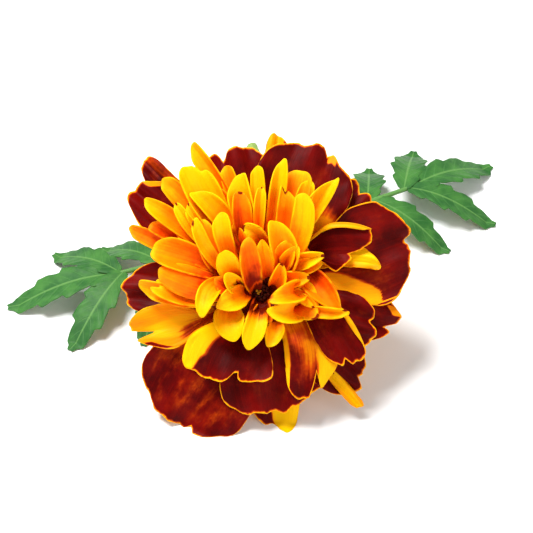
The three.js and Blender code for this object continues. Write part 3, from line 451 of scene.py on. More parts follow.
def petal_middle(petal, t, u):
    """The middle surface of a petal, from its root t=0 to its tip 1 and its right edge u=-1 to 1."""
    root, knee, tip = (np.array(point, float) for point in (petal.root, petal.knee, petal.tip))
    run = u * petal.width / 2
    length = np.linalg.norm(knee - root) + np.linalg.norm(tip - knee)
    from_notch = np.abs(run - petal.notch_at * petal.width / 2)
    near_notch = np.clip(1 - from_notch / NOTCH_HALF_WIDTH, 0, 1)
    reach = 1 - petal.round * (1 - np.sqrt(np.maximum(1 - u * u, 0))) + petal.skew * u
    reach = reach - petal.notch_depth * near_notch ** 1.3
    for wavelength, height, shift in petal.scallops:
        reach = reach + height / length * np.sin(TURN * (run / wavelength + shift))
    s = t * reach
    back = np.clip(s - petal.widest, 0, 1) / (1 - petal.widest)
    rise = petal.claw + (1 - petal.claw) * smooth(petal.opens, petal.widest, s)
    share = np.where(s < petal.widest, rise, 1 - (1 - petal.end) * back * back)
    half = share * petal.width / 2
    s3 = s[..., None]
    spine = (1 - s3) ** 2 * root + 2 * s3 * (1 - s3) * knee + s3 ** 2 * tip
    forward = unit((1 - s3) * (knee - root) + s3 * (tip - knee))
    level = unit(np.array([tip[0] - root[0], tip[1] - root[1], 0]))
    sideways = np.cross([0, 0, 1.0], level)
    normal = unit(np.cross(forward, sideways))
    across = np.cross(normal, forward)
    turn = np.radians(petal.twist * s + petal.roll * smooth(0.1, 0.5, s))[..., None]
    across, normal = (across * np.cos(turn) + normal * np.sin(turn),
                      normal * np.cos(turn) - across * np.sin(turn))
    spine = spine + sideways * (petal.bend * s * (1 - s))[..., None]
    first = np.clip(s / CUP_CHANGES.middle, 0, 1)
    last = np.clip((s - CUP_CHANGES.middle) / CUP_CHANGES.run, 0, 1)
    cup = petal.cup_root + (petal.cup_middle - petal.cup_root) * first
    cup = np.radians(cup + (petal.cup - petal.cup_middle) * last)
    fold = np.radians(petal.fold) * smooth(0.15, 0.5, s)
    a = np.zeros_like(u)
    b = np.zeros_like(u)
    for k in range(ARC_STEPS):
        v = u * (k + 0.5) / ARC_STEPS
        outer = np.clip((np.abs(v) - 0.45) / 0.55, 0, 1) ** 1.5 * smooth(0.05, 0.5, s)
        curl = np.where(v > 0, math.radians(petal.curl_left), -math.radians(petal.curl_right))
        slope = cup * v + fold * np.tanh(v / FOLD_WIDTH) + curl * outer
        a += np.cos(slope) * u / ARC_STEPS
        b += np.sin(slope) * u / ARC_STEPS
    wave = petal.wave * smooth(0.35, 1, s) * np.sin(math.pi * petal.pleats * u + petal.phase)
    wave = wave + petal.fine(t, u)
    return spine + across * (half * a)[..., None] + normal * (half * b + wave)[..., None]


def ray_petal(row, i):
    azimuth, reach, width, tip_height, knee_height, knee_at, cup = row[:7]
    curl_left, curl_right, notch_at, notch_depth, skew, wave, lead, roll = row[7:]
    x, y = math.cos(math.radians(azimuth)), math.sin(math.radians(azimuth))
    root_x, root_y = math.cos(math.radians(azimuth + lead)), math.sin(math.radians(azimuth + lead))
    length = reach - RAY_ROOT_RADIUS

    def frill(t, u):
        rim = smooth(FRILL.begins, 1.0, np.maximum(np.abs(u), t) ** 1.5)
        run = u * (width / 2 + (1 - t) * length * 0.9)
        broad = FRILL.broad * np.sin(TURN * (run / FRILL.broad_wave + spread(i, 6)))
        small = FRILL.small * np.sin(TURN * (run / FRILL.small_wave + spread(i, 7)))
        rib = FRILL.rib * np.cos(TURN * u * width / FRILL.rib_wave)
        rib = rib * smooth(0.1, 0.4, t) * (1 - rim)
        return rim * (broad + small) * (0.6 + 0.6 * spread(i, 8)) + rib

    return Values(
        root=(RAY_ROOT_RADIUS * root_x, RAY_ROOT_RADIUS * root_y, RAY_ROOT_HEIGHT),
        knee=(reach * knee_at * root_x, reach * knee_at * root_y, knee_height),
        tip=(reach * x, reach * y, tip_height),
        width=width, claw=0.28, opens=OPENS.get(i, 0), widest=0.74, end=0.88,
        skew=skew, round=min(0.2, 0.55 * width / length),
        notch_at=notch_at, notch_depth=notch_depth, fold=0,
        cup=cup, cup_root=40, cup_middle=cup + 8, bend=0, twist=0, roll=roll,
        curl_left=curl_left, curl_right=curl_right,
        wave=wave, pleats=1.6 + spread(i, 1), phase=TURN * spread(i, 2),
        scallops=[(9.5, 0.35, spread(i, 9)), (4.1, 0.20, spread(i, 10)), (1.7, 0.06, spread(i, 11))],
        fine=frill,
    )


def lobe_petal(row, i):
    tip_x, tip_y, tip_height, throat_x, throat_y, width, cup, _, blunt, fold = row
    inner = math.hypot(throat_x, throat_y)
    root = min(0.8, LOBE_ROOT_RADIUS / inner)
    length = math.hypot(tip_x - throat_x * root, tip_y - throat_y * root)
    knee_height = max(tip_height - 1, 7) if inner < 8 else tip_height + 0.6
    notch_at, notch_depth = NOTCHED.get(i, (0, 0))

    def groove(t, u):
        side = np.abs(u)
        crease = GROOVE.crease * (1 - smooth(0, 0.3, side))
        crease = crease * smooth(0.1, 0.5, t) * (1 - smooth(0.85, 1, t))
        lift = smooth(0.65, 1.0, t) * (LOBE_VARIES.lift * spread(i, 12) - LOBE_VARIES.sink)
        ripple = GROOVE.ripple * smooth(0.5, 1, side)
        ripple = ripple * np.sin(TURN * (2.2 * t + 0.2 * u + spread(i, 13)))
        rolled = GROOVE.rolled * smooth(0.7, 1, side) * smooth(0.3, 0.6, t)
        return lift + ripple + rolled - crease

    return Values(
        root=(throat_x * root, throat_y * root, LOBE_ROOT_HEIGHT),
        knee=(throat_x, throat_y, knee_height),
        tip=(tip_x, tip_y, tip_height),
        width=width, claw=0.5, opens=0, widest=0.58 + 0.12 * blunt,
        end=0.12 + 0.8 * math.sqrt(blunt), round=0.5 * width / length,
        skew=SKEWED.get(i, LOBE_VARIES.skew * (spread(i, 3) - 0.5)),
        notch_at=notch_at, notch_depth=notch_depth, fold=fold,
        cup=cup, cup_root=100, cup_middle=cup + LOBE_VARIES.cup * spread(i, 22), roll=0,
        bend=LOBE_VARIES.bend * (spread(i, 23) - 0.5),
        twist=LOBE_VARIES.twist * (spread(i, 24) - 0.5), curl_left=0, curl_right=0,
        wave=0, pleats=1, phase=0, scallops=[(3.1, 0.12, spread(i, 16))],
        fine=groove,
    )


def fill_rows():
    """Shorter lobes between the others; the crest reaches less far down the face."""
    rows = []
    for i in range(FILL.count):
        far = math.sqrt((i + 0.5) / FILL.count)
        radius = FILL.inner + (FILL.outer - FILL.inner) * far
        moved = float(smooth(CREST_SHIFT.inner, CREST_SHIFT.outer, radius))
        x = radius * math.cos(spiral(i)) + CREST_SHIFT.x * moved
        y = radius * math.sin(spiral(i)) + CREST_SHIFT.y * moved
        y *= FILL.below if y < 0 else 1
        if x < FILL.left and y < FILL.left_above:
            continue
        out = (math.hypot(x, y) + FILL.reach) / math.hypot(x, y)
        height = FILL.height + FILL.varies * spread(i, 4) - FILL.fall * far
        tone = FILL.tone * spread(i, 25)
        blunt = 0.3 + 0.6 * spread(i, 26)
        fold = FILL.fold * spread(i, 27)
        rows.append([x * out, y * out, height, x, y, FILL.width, FILL.cup, tone, blunt, fold])
    return rows


def in_head(points):
    """From the head's frame to the part's, with what meets the table pressed along it."""
    c, s = math.cos(HEAD_LEAN), math.sin(HEAD_LEAN)
    x, y, z = points.T
    placed = np.stack([x, y * c - z * s, y * s + z * c], axis=1) + HEAD_AT
    return on_table(placed)


def on_ground(points):
    return on_table(points + np.array([HEAD_AT[0], HEAD_AT[1], 0]))


def on_table(points):
    """What would reach below the table lies just over it."""
    soft = 0.5
    low = points[:, 2] < soft
    points[low, 2] = soft * np.exp((points[low, 2] - soft) / soft)
    return points


def make_rays(material):
    surface = Surface()
    t, u = petal_grid(*RAY_GRID)
    for i, (row, mark) in enumerate(zip(RAYS, MARKS)):
        petal = ray_petal(row, i)
        middle = petal_middle(petal, t, u)
        rim = edge_distance(middle)
        base, streaks, mottle = mark
        golden = 1 - smooth(base * 0.6, base * 1.2, t * (1 + 0.25 * np.abs(u)))
        yellow = np.zeros_like(t)
        for at, half, reach, share in streaks:
            narrow = half * np.clip((reach - t) / (0.4 if reach > 1 else 0.8), 0.001, 1) ** 0.7
            streak = 1 - smooth(0.5, 1.0, np.abs(u - at) / narrow)
            golden = np.maximum(golden, streak)
            yellow = np.maximum(yellow, share * streak)
        if i in WARM_BASES:
            reach, place, warmth = WARM_BASES[i]
            run = t + 0.3 * (u - place) ** 2
            golden = golden + (warmth - golden) * (1 - smooth(0.55 * reach, 1.1 * reach, run))
        if i in TIP_PATCHES:
            at, half, begin, value = TIP_PATCHES[i]
            patch = 1 - smooth(0.6, 1.0, np.abs(u - at) / half)
            patch = patch * smooth(begin - 0.02, begin + 0.02, t)
            golden = golden + (value - golden) * patch
        mottle = mottle * (1 - smooth(0.75, 1.0, np.abs(u))) * (1 - smooth(0.8, 1.0, t))
        add_sheet(surface, middle, sheet_thickness(RAY_SHEET, rim), rim=rim, along=t,
                  side=u * row[2] / 2, golden=golden, yellow=yellow, mottle=mottle,
                  tone=spread(i, 17))
    add_lathe(surface, DISC, CORE_SIDES, back=0, rim=5, along=0, side=0, golden=1, yellow=0, mottle=0,
              tone=0.5)
    return surface.piece("rays", material, in_head)


def add_lathe(surface, profile, sides, shape=None, **values):
    """A turned body: profile rows of (radius, height), whose ends lie on the axis."""
    angle = TURN * np.arange(sides) / sides
    rings = []
    for radius, height in profile:
        r = max(radius, AXIS_RADIUS)
        ring = np.stack([r * np.cos(angle), r * np.sin(angle), np.full(sides, height)], axis=1)
        rings.append(ring)
    points = np.stack(rings)
    if shape is not None:
        points = shape(points)
    surface.add(points, ring_quads(len(profile), sides), **values)


def make_crest(material):
    surface = Surface()
    t, u = petal_grid(*LOBE_GRID)
    for i, row in enumerate(LOBES + fill_rows()):
        middle = petal_middle(lobe_petal(row, i), t, u)
        rim = edge_distance(middle)
        # Filler lobes are marked deep: the material paints them darker, most toward their roots, as
        # shade between the larger lobes.
        filler = float(i >= len(LOBES))
        reach = HEART_REACHES.get(i, HEART_REACH)
        heart = 1 - smooth(reach * 0.45, reach, np.hypot(middle[..., 0], middle[..., 1]))
        fleck_at = 0.6 * (spread(i, 28) - 0.5)
        fleck = smooth(0.92, 0.985, t) * (1 - smooth(0.15, 0.6, np.abs(u - fleck_at)))
        fleck = fleck * (i in FLECKED)
        # Painted light and shade: one half of each lobe is a little more yellow and the other a little
        # more orange, as if one half were lit and the other shaded.
        warm = 0.16 * (spread(i, 30) - 0.5) * np.tanh(u / 0.1) * smooth(0.2, 0.5, t)
        add_sheet(surface, middle, sheet_thickness(LOBE_SHEET, rim), rim=rim, along=t,
                  side=u * row[5] / 2, tone=row[7] + warm, deep=filler, heart=heart, fleck=fleck)

    def shape(points):
        far = np.hypot(points[..., 0], points[..., 1])
        moved = smooth(CORE_SHIFT.inner, CORE_SHIFT.outer, far)
        points[..., 0] += CORE_SHIFT.x * moved
        points[..., 1] += CORE_SHIFT.y * moved
        return points

    # The core takes the crest's dark root, filler and heart colours: painted shade under the lobes.
    add_lathe(surface, CORE, CORE_SIDES, shape, back=0, rim=5, along=0, side=0, tone=0.5, deep=1,
              heart=1, fleck=0)
    return surface.piece("crest", material, in_head)


def make_eye(material):
    surface = Surface()
    top = EYE.height - EYE.floor
    plate = [(0, 0), (EYE.radius, 0), (EYE.radius, 0.6), (0, 0.8)]
    add_lathe(surface, [(r, z + EYE.floor) for r, z in plate], EYE_SIDES, tall=0, tone=0.5)
    for i in range(EYE.florets):
        out = (EYE.radius - EYE.floret_radius) * math.sqrt(i / (EYE.florets - 1))
        tall = top * (0.7 + 0.3 * spread(i, 5))
        radius = EYE.floret_radius
        bud = [(0, 0.05), (radius, 0.05), (radius * 0.8, tall * 0.45), (radius * 1.05, tall * 0.75),
               (radius * 0.85, tall * 0.92), (radius * 0.3, tall), (0, tall * 0.97)]
        centre = np.array([out * math.cos(spiral(i)), out * math.sin(spiral(i)), EYE.floor])
        lean = np.array([centre[0], centre[1], 0]) * 0.06

        def shape(points, centre=centre, lean=lean):
            return points + centre + lean * points[..., 2:3]

        heights = np.repeat([z / tall for _, z in bud], BUD_SIDES)
        add_lathe(surface, bud, BUD_SIDES, shape, tall=heights, tone=spread(i, 19))
    return surface.piece("eye_buds", material, in_head)


def curve_through(stations, count):
    """Points of a smooth curve through rows of numbers, closer than the rows."""
    rows = np.array(stations, float)
    padded = np.vstack([2 * rows[0] - rows[1], rows, 2 * rows[-1] - rows[-2]])
    out = []
    for x in np.linspace(0, len(rows) - 1, count):
        k = min(int(x), len(rows) - 2)
        f = x - k
        p0, p1, p2, p3 = padded[k:k + 4]
        out.append(0.5 * (2 * p1 + (p2 - p0) * f + (2 * p0 - 5 * p1 + 4 * p2 - p3) * f ** 2
                          + (3 * p1 - p0 - 3 * p2 + p3) * f ** 3))
    return np.array(out)


def make_cup(material):
    surface = Surface()
    profile = curve_through(CUP, CUP_ROWS)
    inner = [(CUP_SEAT.radius, CUP[-1][1]), (CUP_SEAT.radius, CUP_SEAT.floor),
             (0, CUP_SEAT.floor)]
    rings = [(0, CUP[0][1])] + [tuple(p) for p in profile] + inner
    sides = CUP_RIBS * CUP_SIDES_A_RIB
    rows = np.arange(CUP_ROWS)
    outside = np.concatenate([[0], np.minimum(1, rows / CUP_RIBS_FULL_ROW), [0, 0, 0]])
    rim = np.concatenate([[0], smooth(0.86, 1, rows / (CUP_ROWS - 1)), [1, 0, 0]])
    angle = TURN * np.arange(sides) / sides
    rib = np.abs(np.cos(CUP_RIBS * angle / 2))

    def shape(points):
        crease = np.exp(-(rib / CUP_CREASE.width) ** 2)
        deep = CUP_RIB_DEPTH * outside[:, None] * ((1 - rib) + CUP_CREASE.depth * crease)
        points[..., :2] *= (1 - deep)[..., None]
        points[..., 2] += CUP_TOOTH * rim[:, None] * (rib ** 0.8 - 0.5)
        return points

    tall = np.repeat([(z - CUP[0][1]) / (CUP[-1][1] - CUP[0][1]) for _, z in rings], sides)
    turn = np.tile(angle / TURN, len(rings))
    add_lathe(surface, rings, sides, shape, tall=tall, rib=np.tile(rib, len(rings)), turn=turn)
    return surface.piece("calyx_cup", material, in_head)


def add_rod(surface, stations, sides, ridge=None, **values):
    """A round rod along rows of [x, y, z, radius], whose pith has sunk in at its end."""
    centres, radii = stations[:, :3], stations[:, 3]
    along = unit(np.gradient(centres, axis=0))
    right = unit(np.cross(along, [0, 0, 1.0]))
    over = np.cross(right, along)
    angle = TURN * (np.arange(sides) + 0.5) / sides
    reach = radii[:, None] * (1 if ridge is None else ridge(angle)[None, :])
    rings = (centres[:, None] + over[:, None] * (reach * np.cos(angle))[..., None]
             + right[:, None] * (reach * np.sin(angle))[..., None])
    start = np.repeat(centres[:1], sides, axis=0)[None]
    end = np.repeat(centres[-1:], sides, axis=0)[None]
    pith = centres[-1] + (rings[-1] - centres[-1]) * PITH.radius
    rings = np.concatenate([start, rings, pith[None], end - along[-1] * PITH.sunk])
    surface.add(rings, ring_quads(len(rings), sides), **values)


def make_stalk(material):
    surface = Surface()
    stations = curve_through(STALK, STALK_ROWS)

    def ridge(angle):
        return 1 + 0.025 * np.cos(9 * angle) + 0.012 * np.cos(17 * angle + 1)

    tall = np.concatenate([[0], np.linspace(0, 1, STALK_ROWS), [1, 1]])
    cut = np.concatenate([np.zeros(STALK_ROWS + 1), [1, 1]])
    add_rod(surface, stations, STALK_SIDES, ridge, tall=np.repeat(tall, STALK_SIDES),
            cut=np.repeat(cut, STALK_SIDES))
    return surface.piece("flower_stalk", material, on_ground)


def rib_point(leaf, s):
    heading = math.radians(leaf.heading)
    s = np.asarray(s, float)
    bend = math.radians(10) * s * s * (-1 if leaf.heading > 90 else 1)
    x, y, z = leaf.at
    length = leaf.length
    return np.stack([
        x + length * s * np.cos(heading + bend),
        y + length * s * np.sin(heading + bend),
        z + leaf.arch * 4 * s * (1 - s) + (LEAF_THICKNESS - z) * s,
    ], axis=-1)


def leaflet_middle(leaf, row, t, u):
    place, side, angle, length, width = row
    length, width = length * leaf.size, width * leaf.size
    root = rib_point(leaf, place)
    ahead = rib_point(leaf, min(place + 0.02, 1)) - rib_point(leaf, place - 0.02)
    heading = math.atan2(ahead[1], ahead[0]) + math.radians(angle) * (side or 0.3)
    wheel = (TEETH * t + 0.25) % 1
    saw = np.where(wheel < TOOTH.rise, wheel / TOOTH.rise, (1 - wheel) / (1 - TOOTH.rise))
    tooth = TOOTH.low + TOOTH.more * saw
    body = np.maximum(np.sin(math.pi * np.clip(0.08 + 0.88 * t, 0, 1) ** 0.9), 0) ** 0.8
    half = width / 2 * body * (1 - np.abs(u) + np.abs(u) * tooth)
    s = t + 0.07 * np.abs(u) ** 1.5 * tooth * body
    fall = root[2] * 1.2 * np.maximum(s, 0) ** 1.5 - leaf.size * 1.2 * np.sin(math.pi * s)
    crease = 0.5 * np.abs(u) * body
    veins = 0.10 * np.sin(TURN * (VEINS * (t - VEIN_SLANT * np.abs(u)))) * np.abs(u) * body
    z = np.maximum(root[2] - fall + crease + veins, LEAF_THICKNESS / 2)
    c, d = math.cos(heading), math.sin(heading)
    return np.stack([root[0] + length * s * c - half * u * d,
                     root[1] + length * s * d + half * u * c, z], axis=-1)


def make_leaf(leaf, material):
    surface = Surface()
    rows, columns = LEAFLET_GRID
    t, u = np.meshgrid(np.linspace(0, 1, rows), np.linspace(-1, 1, columns), indexing="ij")
    for row in LEAFLETS:
        middle = leaflet_middle(leaf, row, t, u)
        midrib = MIDRIB.height * (1 - smooth(0, MIDRIB.half_width, np.abs(u)))
        thickness = sheet_thickness(LEAF_SHEET, edge_distance(middle)) + midrib
        add_sheet(surface, middle, thickness, along=t, side=u)
    s = np.linspace(RIB.begins, RIB.ends, LEAF_RIB_ROWS)
    radius = RIB.start + (RIB.end - RIB.start) * s / RIB.ends
    stations = np.concatenate([rib_point(leaf, s), radius[:, None]], axis=1)
    add_rod(surface, stations, RIB.sides, back=0, along=0.5, side=0)
    return surface.piece(leaf.name.replace("leaf_", "leaf_blade_"), material, on_ground)


# Materials: node graphs written as sums, then one function for each finish.
def feed(tree, socket, value):
    if isinstance(value, Signal):
        tree.links.new(value.socket, socket)
    elif isinstance(value, tuple):
        socket.default_value = (*value, 1)[:len(socket.default_value)]
    else:
        socket.default_value = value


def wire(tree, kind, output, *inputs, **settings):
    """One output of a new node, with its settings made and its inputs fed."""
    node = tree.nodes.new(kind)
    for key, value in settings.items():
        setattr(node, key, value)
    for socket, value in inputs:
        feed(tree, node.inputs[socket], value)
    return Signal(tree, node.outputs[output])


def maths(tree, operation, *values):
    return wire(tree, "ShaderNodeMath", 0, *enumerate(values), operation=operation)


class Signal:
    """An output in a node graph, as a value to add, subtract, multiply, step and blend with."""

    def __init__(self, tree, socket):
        self.tree = tree
        self.socket = socket

    def __add__(self, other):
        return maths(self.tree, "ADD", self, other)

    def __sub__(self, other):
        return maths(self.tree, "SUBTRACT", self, other)

    def __mul__(self, other):
        return maths(self.tree, "MULTIPLY", self, other)

    def step(self, low, high, to_low=0.0, to_high=1.0):
        """A soft step, which falls where low is above high."""
        return wire(self.tree, "ShaderNodeMapRange", 0, ("Value", self), ("From Min", low),
                    ("From Max", high), ("To Min", to_low), ("To Max", to_high),
                    interpolation_type="SMOOTHSTEP")

    def blend(self, first, second):
        """The first colour where this is 0 and the second where it is 1."""
        return wire(self.tree, "ShaderNodeMix", 2, (0, self), (6, first), (7, second),
                    data_type="RGBA")


class Finish:
    """A material, its shader's constants and what feeds its shader."""

    def __init__(self, name, **constants):
        self.material = bpy.data.materials.new(name)
        self.material.use_nodes = True
        self.tree = self.material.node_tree
        self.shader = self.tree.nodes["Principled BSDF"]
        for key, value in constants.items():
            self.shader.inputs[key.replace("_", " ")].default_value = value

    def attribute(self, name):
        return wire(self.tree, "ShaderNodeAttribute", "Fac", attribute_name=name)

    def place(self):
        return wire(self.tree, "ShaderNodeTexCoord", "Object")

    def noise(self, scale, detail=3.0, place=None):
        return wire(self.tree, "ShaderNodeTexNoise", "Fac", ("Scale", scale), ("Detail", detail),
                    ("Roughness", 0.55), ("Vector", place or self.place()))

    def grain(self, across, along):
        """Noise drawn out along a petal, and another stretch of it for each tone."""
        place = wire(self.tree, "ShaderNodeCombineXYZ", 0, (0, self.attribute("side") * across),
                     (1, self.attribute("along") * along), (2, self.attribute("tone") * 37.0))
        return self.noise(1.0, 4.0, place)

    def feed(self, name, value):
        feed(self.tree, self.shader.inputs[name], value)

    def gloss(self, pattern, smoothest, roughest):
        self.feed("Roughness", pattern.step(0.2, 0.8, smoothest, roughest))

    def bump(self, height, strength, distance):
        self.feed("Normal", wire(self.tree, "ShaderNodeBump", 0, ("Height", height),
                                 ("Strength", strength), ("Distance", distance * MM)))


def velvet_red(finish, blotch, speck, veins):
    """The red of a ray with its orange mottling and its pale glints."""
    flame = finish.grain(0.6, 5.0)
    mottle = finish.attribute("mottle")
    red = blotch.step(0.3, 0.7).blend(RED.dark, RED.bright)
    red = veins.step(0.5, 0.85, 0.0, 0.45).blend(red, RED.vein)
    patch = blotch * 0.7 + flame * 0.3
    glow = mottle * patch.step(0.44, 0.72)
    red = (glow * 0.75).blend(red, RED.glow)
    hot = mottle * (patch * (flame + 0.55)).step(0.55, 0.85)
    red = (hot * speck.step(0.25, 0.7, 0.15, 0.8)).blend(red, RED.hot)
    glint = finish.grain(3.2, 9.0).step(0.70, 0.78) * blotch.step(0.5, 0.65)
    return (glint * 0.35).blend(red, RED.glint)


def ray_material():
    finish = Finish("ray_petal", Sheen_Weight=0.03, Sheen_Roughness=0.4,
                    Sheen_Tint=(1.0, 0.1, 0.05, 1), Specular_IOR_Level=0.05, Subsurface_Weight=0.1,
                    Subsurface_Scale=0.0005, Subsurface_Radius=(1.0, 0.2, 0.1))
    grain = finish.grain(0.9, 1.1)
    fine = finish.grain(5.0, 5.0)
    veins = finish.grain(2.6, 0.7)
    blotch = finish.noise(170.0, 4.0)
    speck = finish.noise(900.0)
    breakup = finish.attribute("golden") + (grain + veins - 1.0) * 0.28 + (blotch - 0.5) * 0.7
    gold = fine.blend(GOLD.deep, GOLD.light)
    gold = finish.attribute("yellow").blend(gold, GOLD.yellow)
    red = velvet_red(finish, blotch, speck, veins)
    warm = breakup.step(0.22, 0.5).blend(red, GOLD.warm)
    top = breakup.step(0.42, 0.62).blend(warm, gold)
    edge = finish.attribute("rim") + (speck - 0.5) * 0.7
    warm_rim = edge.step(0.58, 0.26) * breakup.step(0.7, 0.3)
    top = warm_rim.blend(top, GOLD.warm_rim)
    bright = veins.step(0.35, 0.65).blend(GOLD.rim, GOLD.pale_rim)
    top = edge.step(0.15, 0.31).blend(bright, top)
    under = grain.step(0.5, 0.75).blend(GOLD.under, GOLD.under_vein)
    finish.feed("Base Color", finish.attribute("back").blend(top, under))
    finish.gloss(fine, 0.36, 0.55)
    finish.bump(fine + veins * 0.8, 0.5, 0.12)
    return finish.material


def crest_material():
    finish = Finish("crest_petal", Specular_IOR_Level=0.05, Subsurface_Weight=0.12,
                    Subsurface_Scale=0.0004, Subsurface_Radius=(1.0, 0.4, 0.1))
    grain = finish.grain(2.4, 2.0)
    fine = finish.grain(8.0, 6.0)
    cloud = finish.noise(420.0)
    run = finish.attribute("along") + (finish.attribute("tone") - 0.6) * 0.8
    run = run + (grain - 0.5) * 0.3 + (cloud - 0.5) * 0.5
    # Toward its root each lobe darkens to a deep red: partly its own redder foot, partly painted shade
    # in the gaps between the lobes.
    colour = run.step(-0.05, 0.25).blend(CREST.throat, CREST.base)
    colour = run.step(0.15, 0.55).blend(colour, CREST.middle)
    colour = run.step(0.5, 1.1).blend(colour, CREST.tip)
    # Painted shade: the filler lobes and the core, which lie deep between the larger lobes, darken,
    # most toward their roots.
    deep = finish.attribute("deep") * run.step(1.0, 0.2, 0.35, 0.85)
    colour = deep.blend(colour, CREST.deep)
    lit = finish.attribute("rim").step(1.1, 0.1) * cloud.step(0.3, 0.65)
    colour = (lit * 0.5).blend(colour, CREST.rim)
    # Toward the middle of the head the lobes turn orange-red and then dark red; on the core this dark
    # red is painted shade.
    heart = finish.attribute("heart")
    warm = (heart + (grain - 0.5) * 0.8).step(0.15, 0.5)
    colour = (warm * 0.7).blend(colour, CREST.warm)
    stain = (heart + (grain - 0.5) * 1.1).step(0.42, 0.85)
    colour = stain.blend(colour, CREST.stain)
    fleck = finish.attribute("fleck")
    dark = (fleck + (cloud - 0.5) * 1.6).step(0.45, 0.7) * fleck.step(0.0, 0.15)
    finish.feed("Base Color", dark.blend(colour, CREST.fleck))
    finish.gloss(fine, 0.36, 0.55)
    finish.bump(fine * 0.4 + (grain + cloud), 0.5, 0.25)
    return finish.material


def eye_material():
    finish = Finish("eye_floret", Roughness=0.7, Specular_IOR_Level=0.1)
    colour = finish.attribute("tall").step(0.55, 0.95).blend(BUD.foot, BUD.tip)
    colour = finish.attribute("tone").step(0.76, 0.84).blend(BUD.dark, colour)
    finish.feed("Base Color", colour)
    finish.bump(finish.noise(4000.0), 0.6, 0.08)
    return finish.material


def cup_material():
    finish = Finish("calyx_cup", **GREEN_SKIN)
    tall = finish.attribute("tall")
    place = wire(finish.tree, "ShaderNodeCombineXYZ", 0, (0, finish.attribute("turn") * 160.0),
                 (1, tall * 4.0))
    lines = finish.noise(1.0, 3.0, place)
    purple = tall.step(0.3, 0.95) * finish.noise(220.0).step(0.3, 0.7)
    colour = (purple * 0.85).blend(lines.blend(CALYX.green, CALYX.pale), CALYX.purple)
    creased = finish.attribute("rib").step(0.0, 0.2, 0.6, 0.0)
    finish.feed("Base Color", creased.blend(colour, CALYX.crease))
    finish.gloss(lines, 0.38, 0.55)
    finish.bump(lines, 0.4, 0.12)
    return finish.material


def stalk_material():
    finish = Finish("flower_stalk", **GREEN_SKIN)
    place = wire(finish.tree, "ShaderNodeMapping", 0, ("Vector", finish.place()),
                 ("Scale", (1500, 90, 1500)))
    lines = finish.noise(1.0, 3.0, place)
    blush = finish.noise(160.0).step(0.5, 0.7) * finish.attribute("tall").step(0.9, 0.1)
    colour = (blush * 0.45).blend(lines.blend(STEM.green, STEM.pale), STEM.blush)
    finish.feed("Base Color", finish.attribute("cut").blend(colour, STEM.pith))
    finish.gloss(lines, 0.38, 0.52)
    finish.bump(lines, 0.35, 0.08)
    return finish.material


def leaf_material():
    finish = Finish("leaf", Specular_IOR_Level=0.2, Subsurface_Weight=0.12,
                    Subsurface_Scale=0.0006, Subsurface_Radius=(0.4, 1.0, 0.2))
    side = maths(finish.tree, "ABSOLUTE", finish.attribute("side"))
    phase = finish.attribute("along") - side * VEIN_SLANT
    wave = maths(finish.tree, "COSINE", phase * (TURN * VEINS))
    vein = wave.step(0.82, 1.0) * side.step(1.0, 0.3)
    midrib = side.step(0.10, 0.03)
    fine = finish.noise(2600.0)
    green = finish.noise(260.0, 4.0).step(0.3, 0.7).blend(LEAF.dark, LEAF.green)
    green = (vein * 0.35).blend(green, LEAF.vein)
    green = (midrib * 0.75).blend(green, LEAF.midrib)
    under = fine.blend(LEAF.under, LEAF.under_pale)
    finish.feed("Base Color", finish.attribute("back").blend(green, under))
    finish.gloss(fine, 0.45, 0.62)
    finish.bump(fine * 0.4 - (vein + midrib), 0.5, 0.1)
    return finish.material


def floor_material():
    finish = Finish("floor", Roughness=0.9)
    finish.feed("Base Color", finish.noise(40.0).blend(FLOOR.shade, FLOOR.pale))
    return finish.material


def settle(piece, slot_name, *nodes):
    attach(piece, "root")
    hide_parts(*nodes)


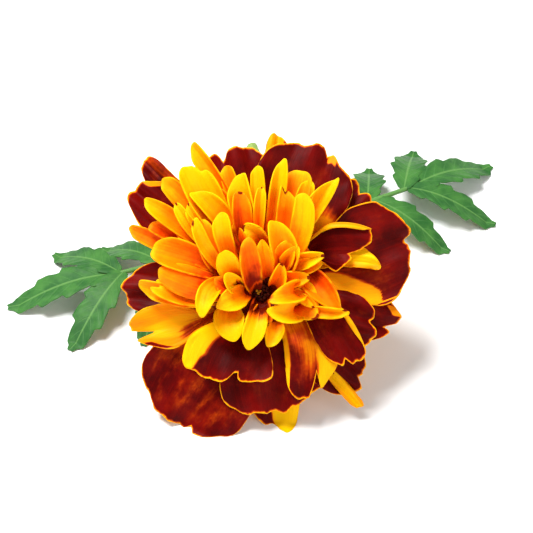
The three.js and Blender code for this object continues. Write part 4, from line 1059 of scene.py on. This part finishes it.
def make_floor():
    mesh = bpy.data.meshes.new("floor")
    corners = [(x * FLOOR_HALF, y * FLOOR_HALF, 0) for x, y in ((-1, -1), (1, -1), (1, 1), (-1, 1))]
    mesh.from_pydata(corners, [], [(0, 1, 2, 3)])
    mesh.materials.append(floor_material())
    floor = bpy.data.objects.new("floor", mesh)
    bpy.context.scene.collection.objects.link(floor)


def add_light(name, place, size, energy):
    light = bpy.data.lights.new(name, "AREA")
    light.shape = "DISK"
    light.size = size
    light.energy = energy
    lamp = bpy.data.objects.new(name, light)
    lamp.location = place
    direction = lamp.location - Vector(LAMP_TARGET)
    lamp.rotation_euler = direction.to_track_quat("Z", "Y").to_euler()
    bpy.context.scene.collection.objects.link(lamp)


def make_camera():
    camera = bpy.data.cameras.new("camera")
    holder = bpy.data.objects.new("camera", camera)
    bpy.context.scene.collection.objects.link(holder)
    bpy.context.scene.camera = holder
    per_pixel = FRAME_SPAN / FRAME_PIXELS
    right = (FRAME_PIXELS / 2 - HEAD_PIXEL[0]) * per_pixel
    up = (HEAD_PIXEL[1] - FRAME_PIXELS / 2) * per_pixel
    c, s = math.cos(HEAD_LEAN), math.sin(HEAD_LEAN)
    axis = np.array([0, -s, c])
    over = np.array([0, c, s])
    place = HEAD_AT + axis * CAMERA_DISTANCE + over * up + np.array([right, 0, 0])
    holder.location = place * MM
    holder.rotation_euler = (HEAD_LEAN, 0, 0)
    camera.sensor_width = SENSOR_WIDTH
    camera.lens = SENSOR_WIDTH * CAMERA_DISTANCE / FRAME_SPAN
    camera.clip_start, camera.clip_end = CAMERA_CLIP


def make_lights():
    for lamp in LAMPS:
        add_light(*lamp)
    world = bpy.data.worlds.new("studio")
    bpy.context.scene.world = world
    world.use_nodes = True
    background = world.node_tree.nodes["Background"]
    background.inputs[0].default_value = (1, 1, 1, 1)
    background.inputs[1].default_value = WORLD_STRENGTH


make_camera()
make_lights()
make_floor()
bpy.context.scene.view_settings.view_transform = "Standard"

settle(make_rays(ray_material()), "ray_petal", "ray_florets")
settle(make_crest(crest_material()), "crest_petal", "crest_florets")
settle(make_eye(eye_material()), "eye", "eye_florets")
settle(make_cup(cup_material()), "cup", "involucre")
settle(make_stalk(stalk_material()), "stalk", "stalk")
leaf_finish = leaf_material()
for leaf in LEAVES:
    settle(make_leaf(leaf, leaf_finish), "leaf", leaf.name)
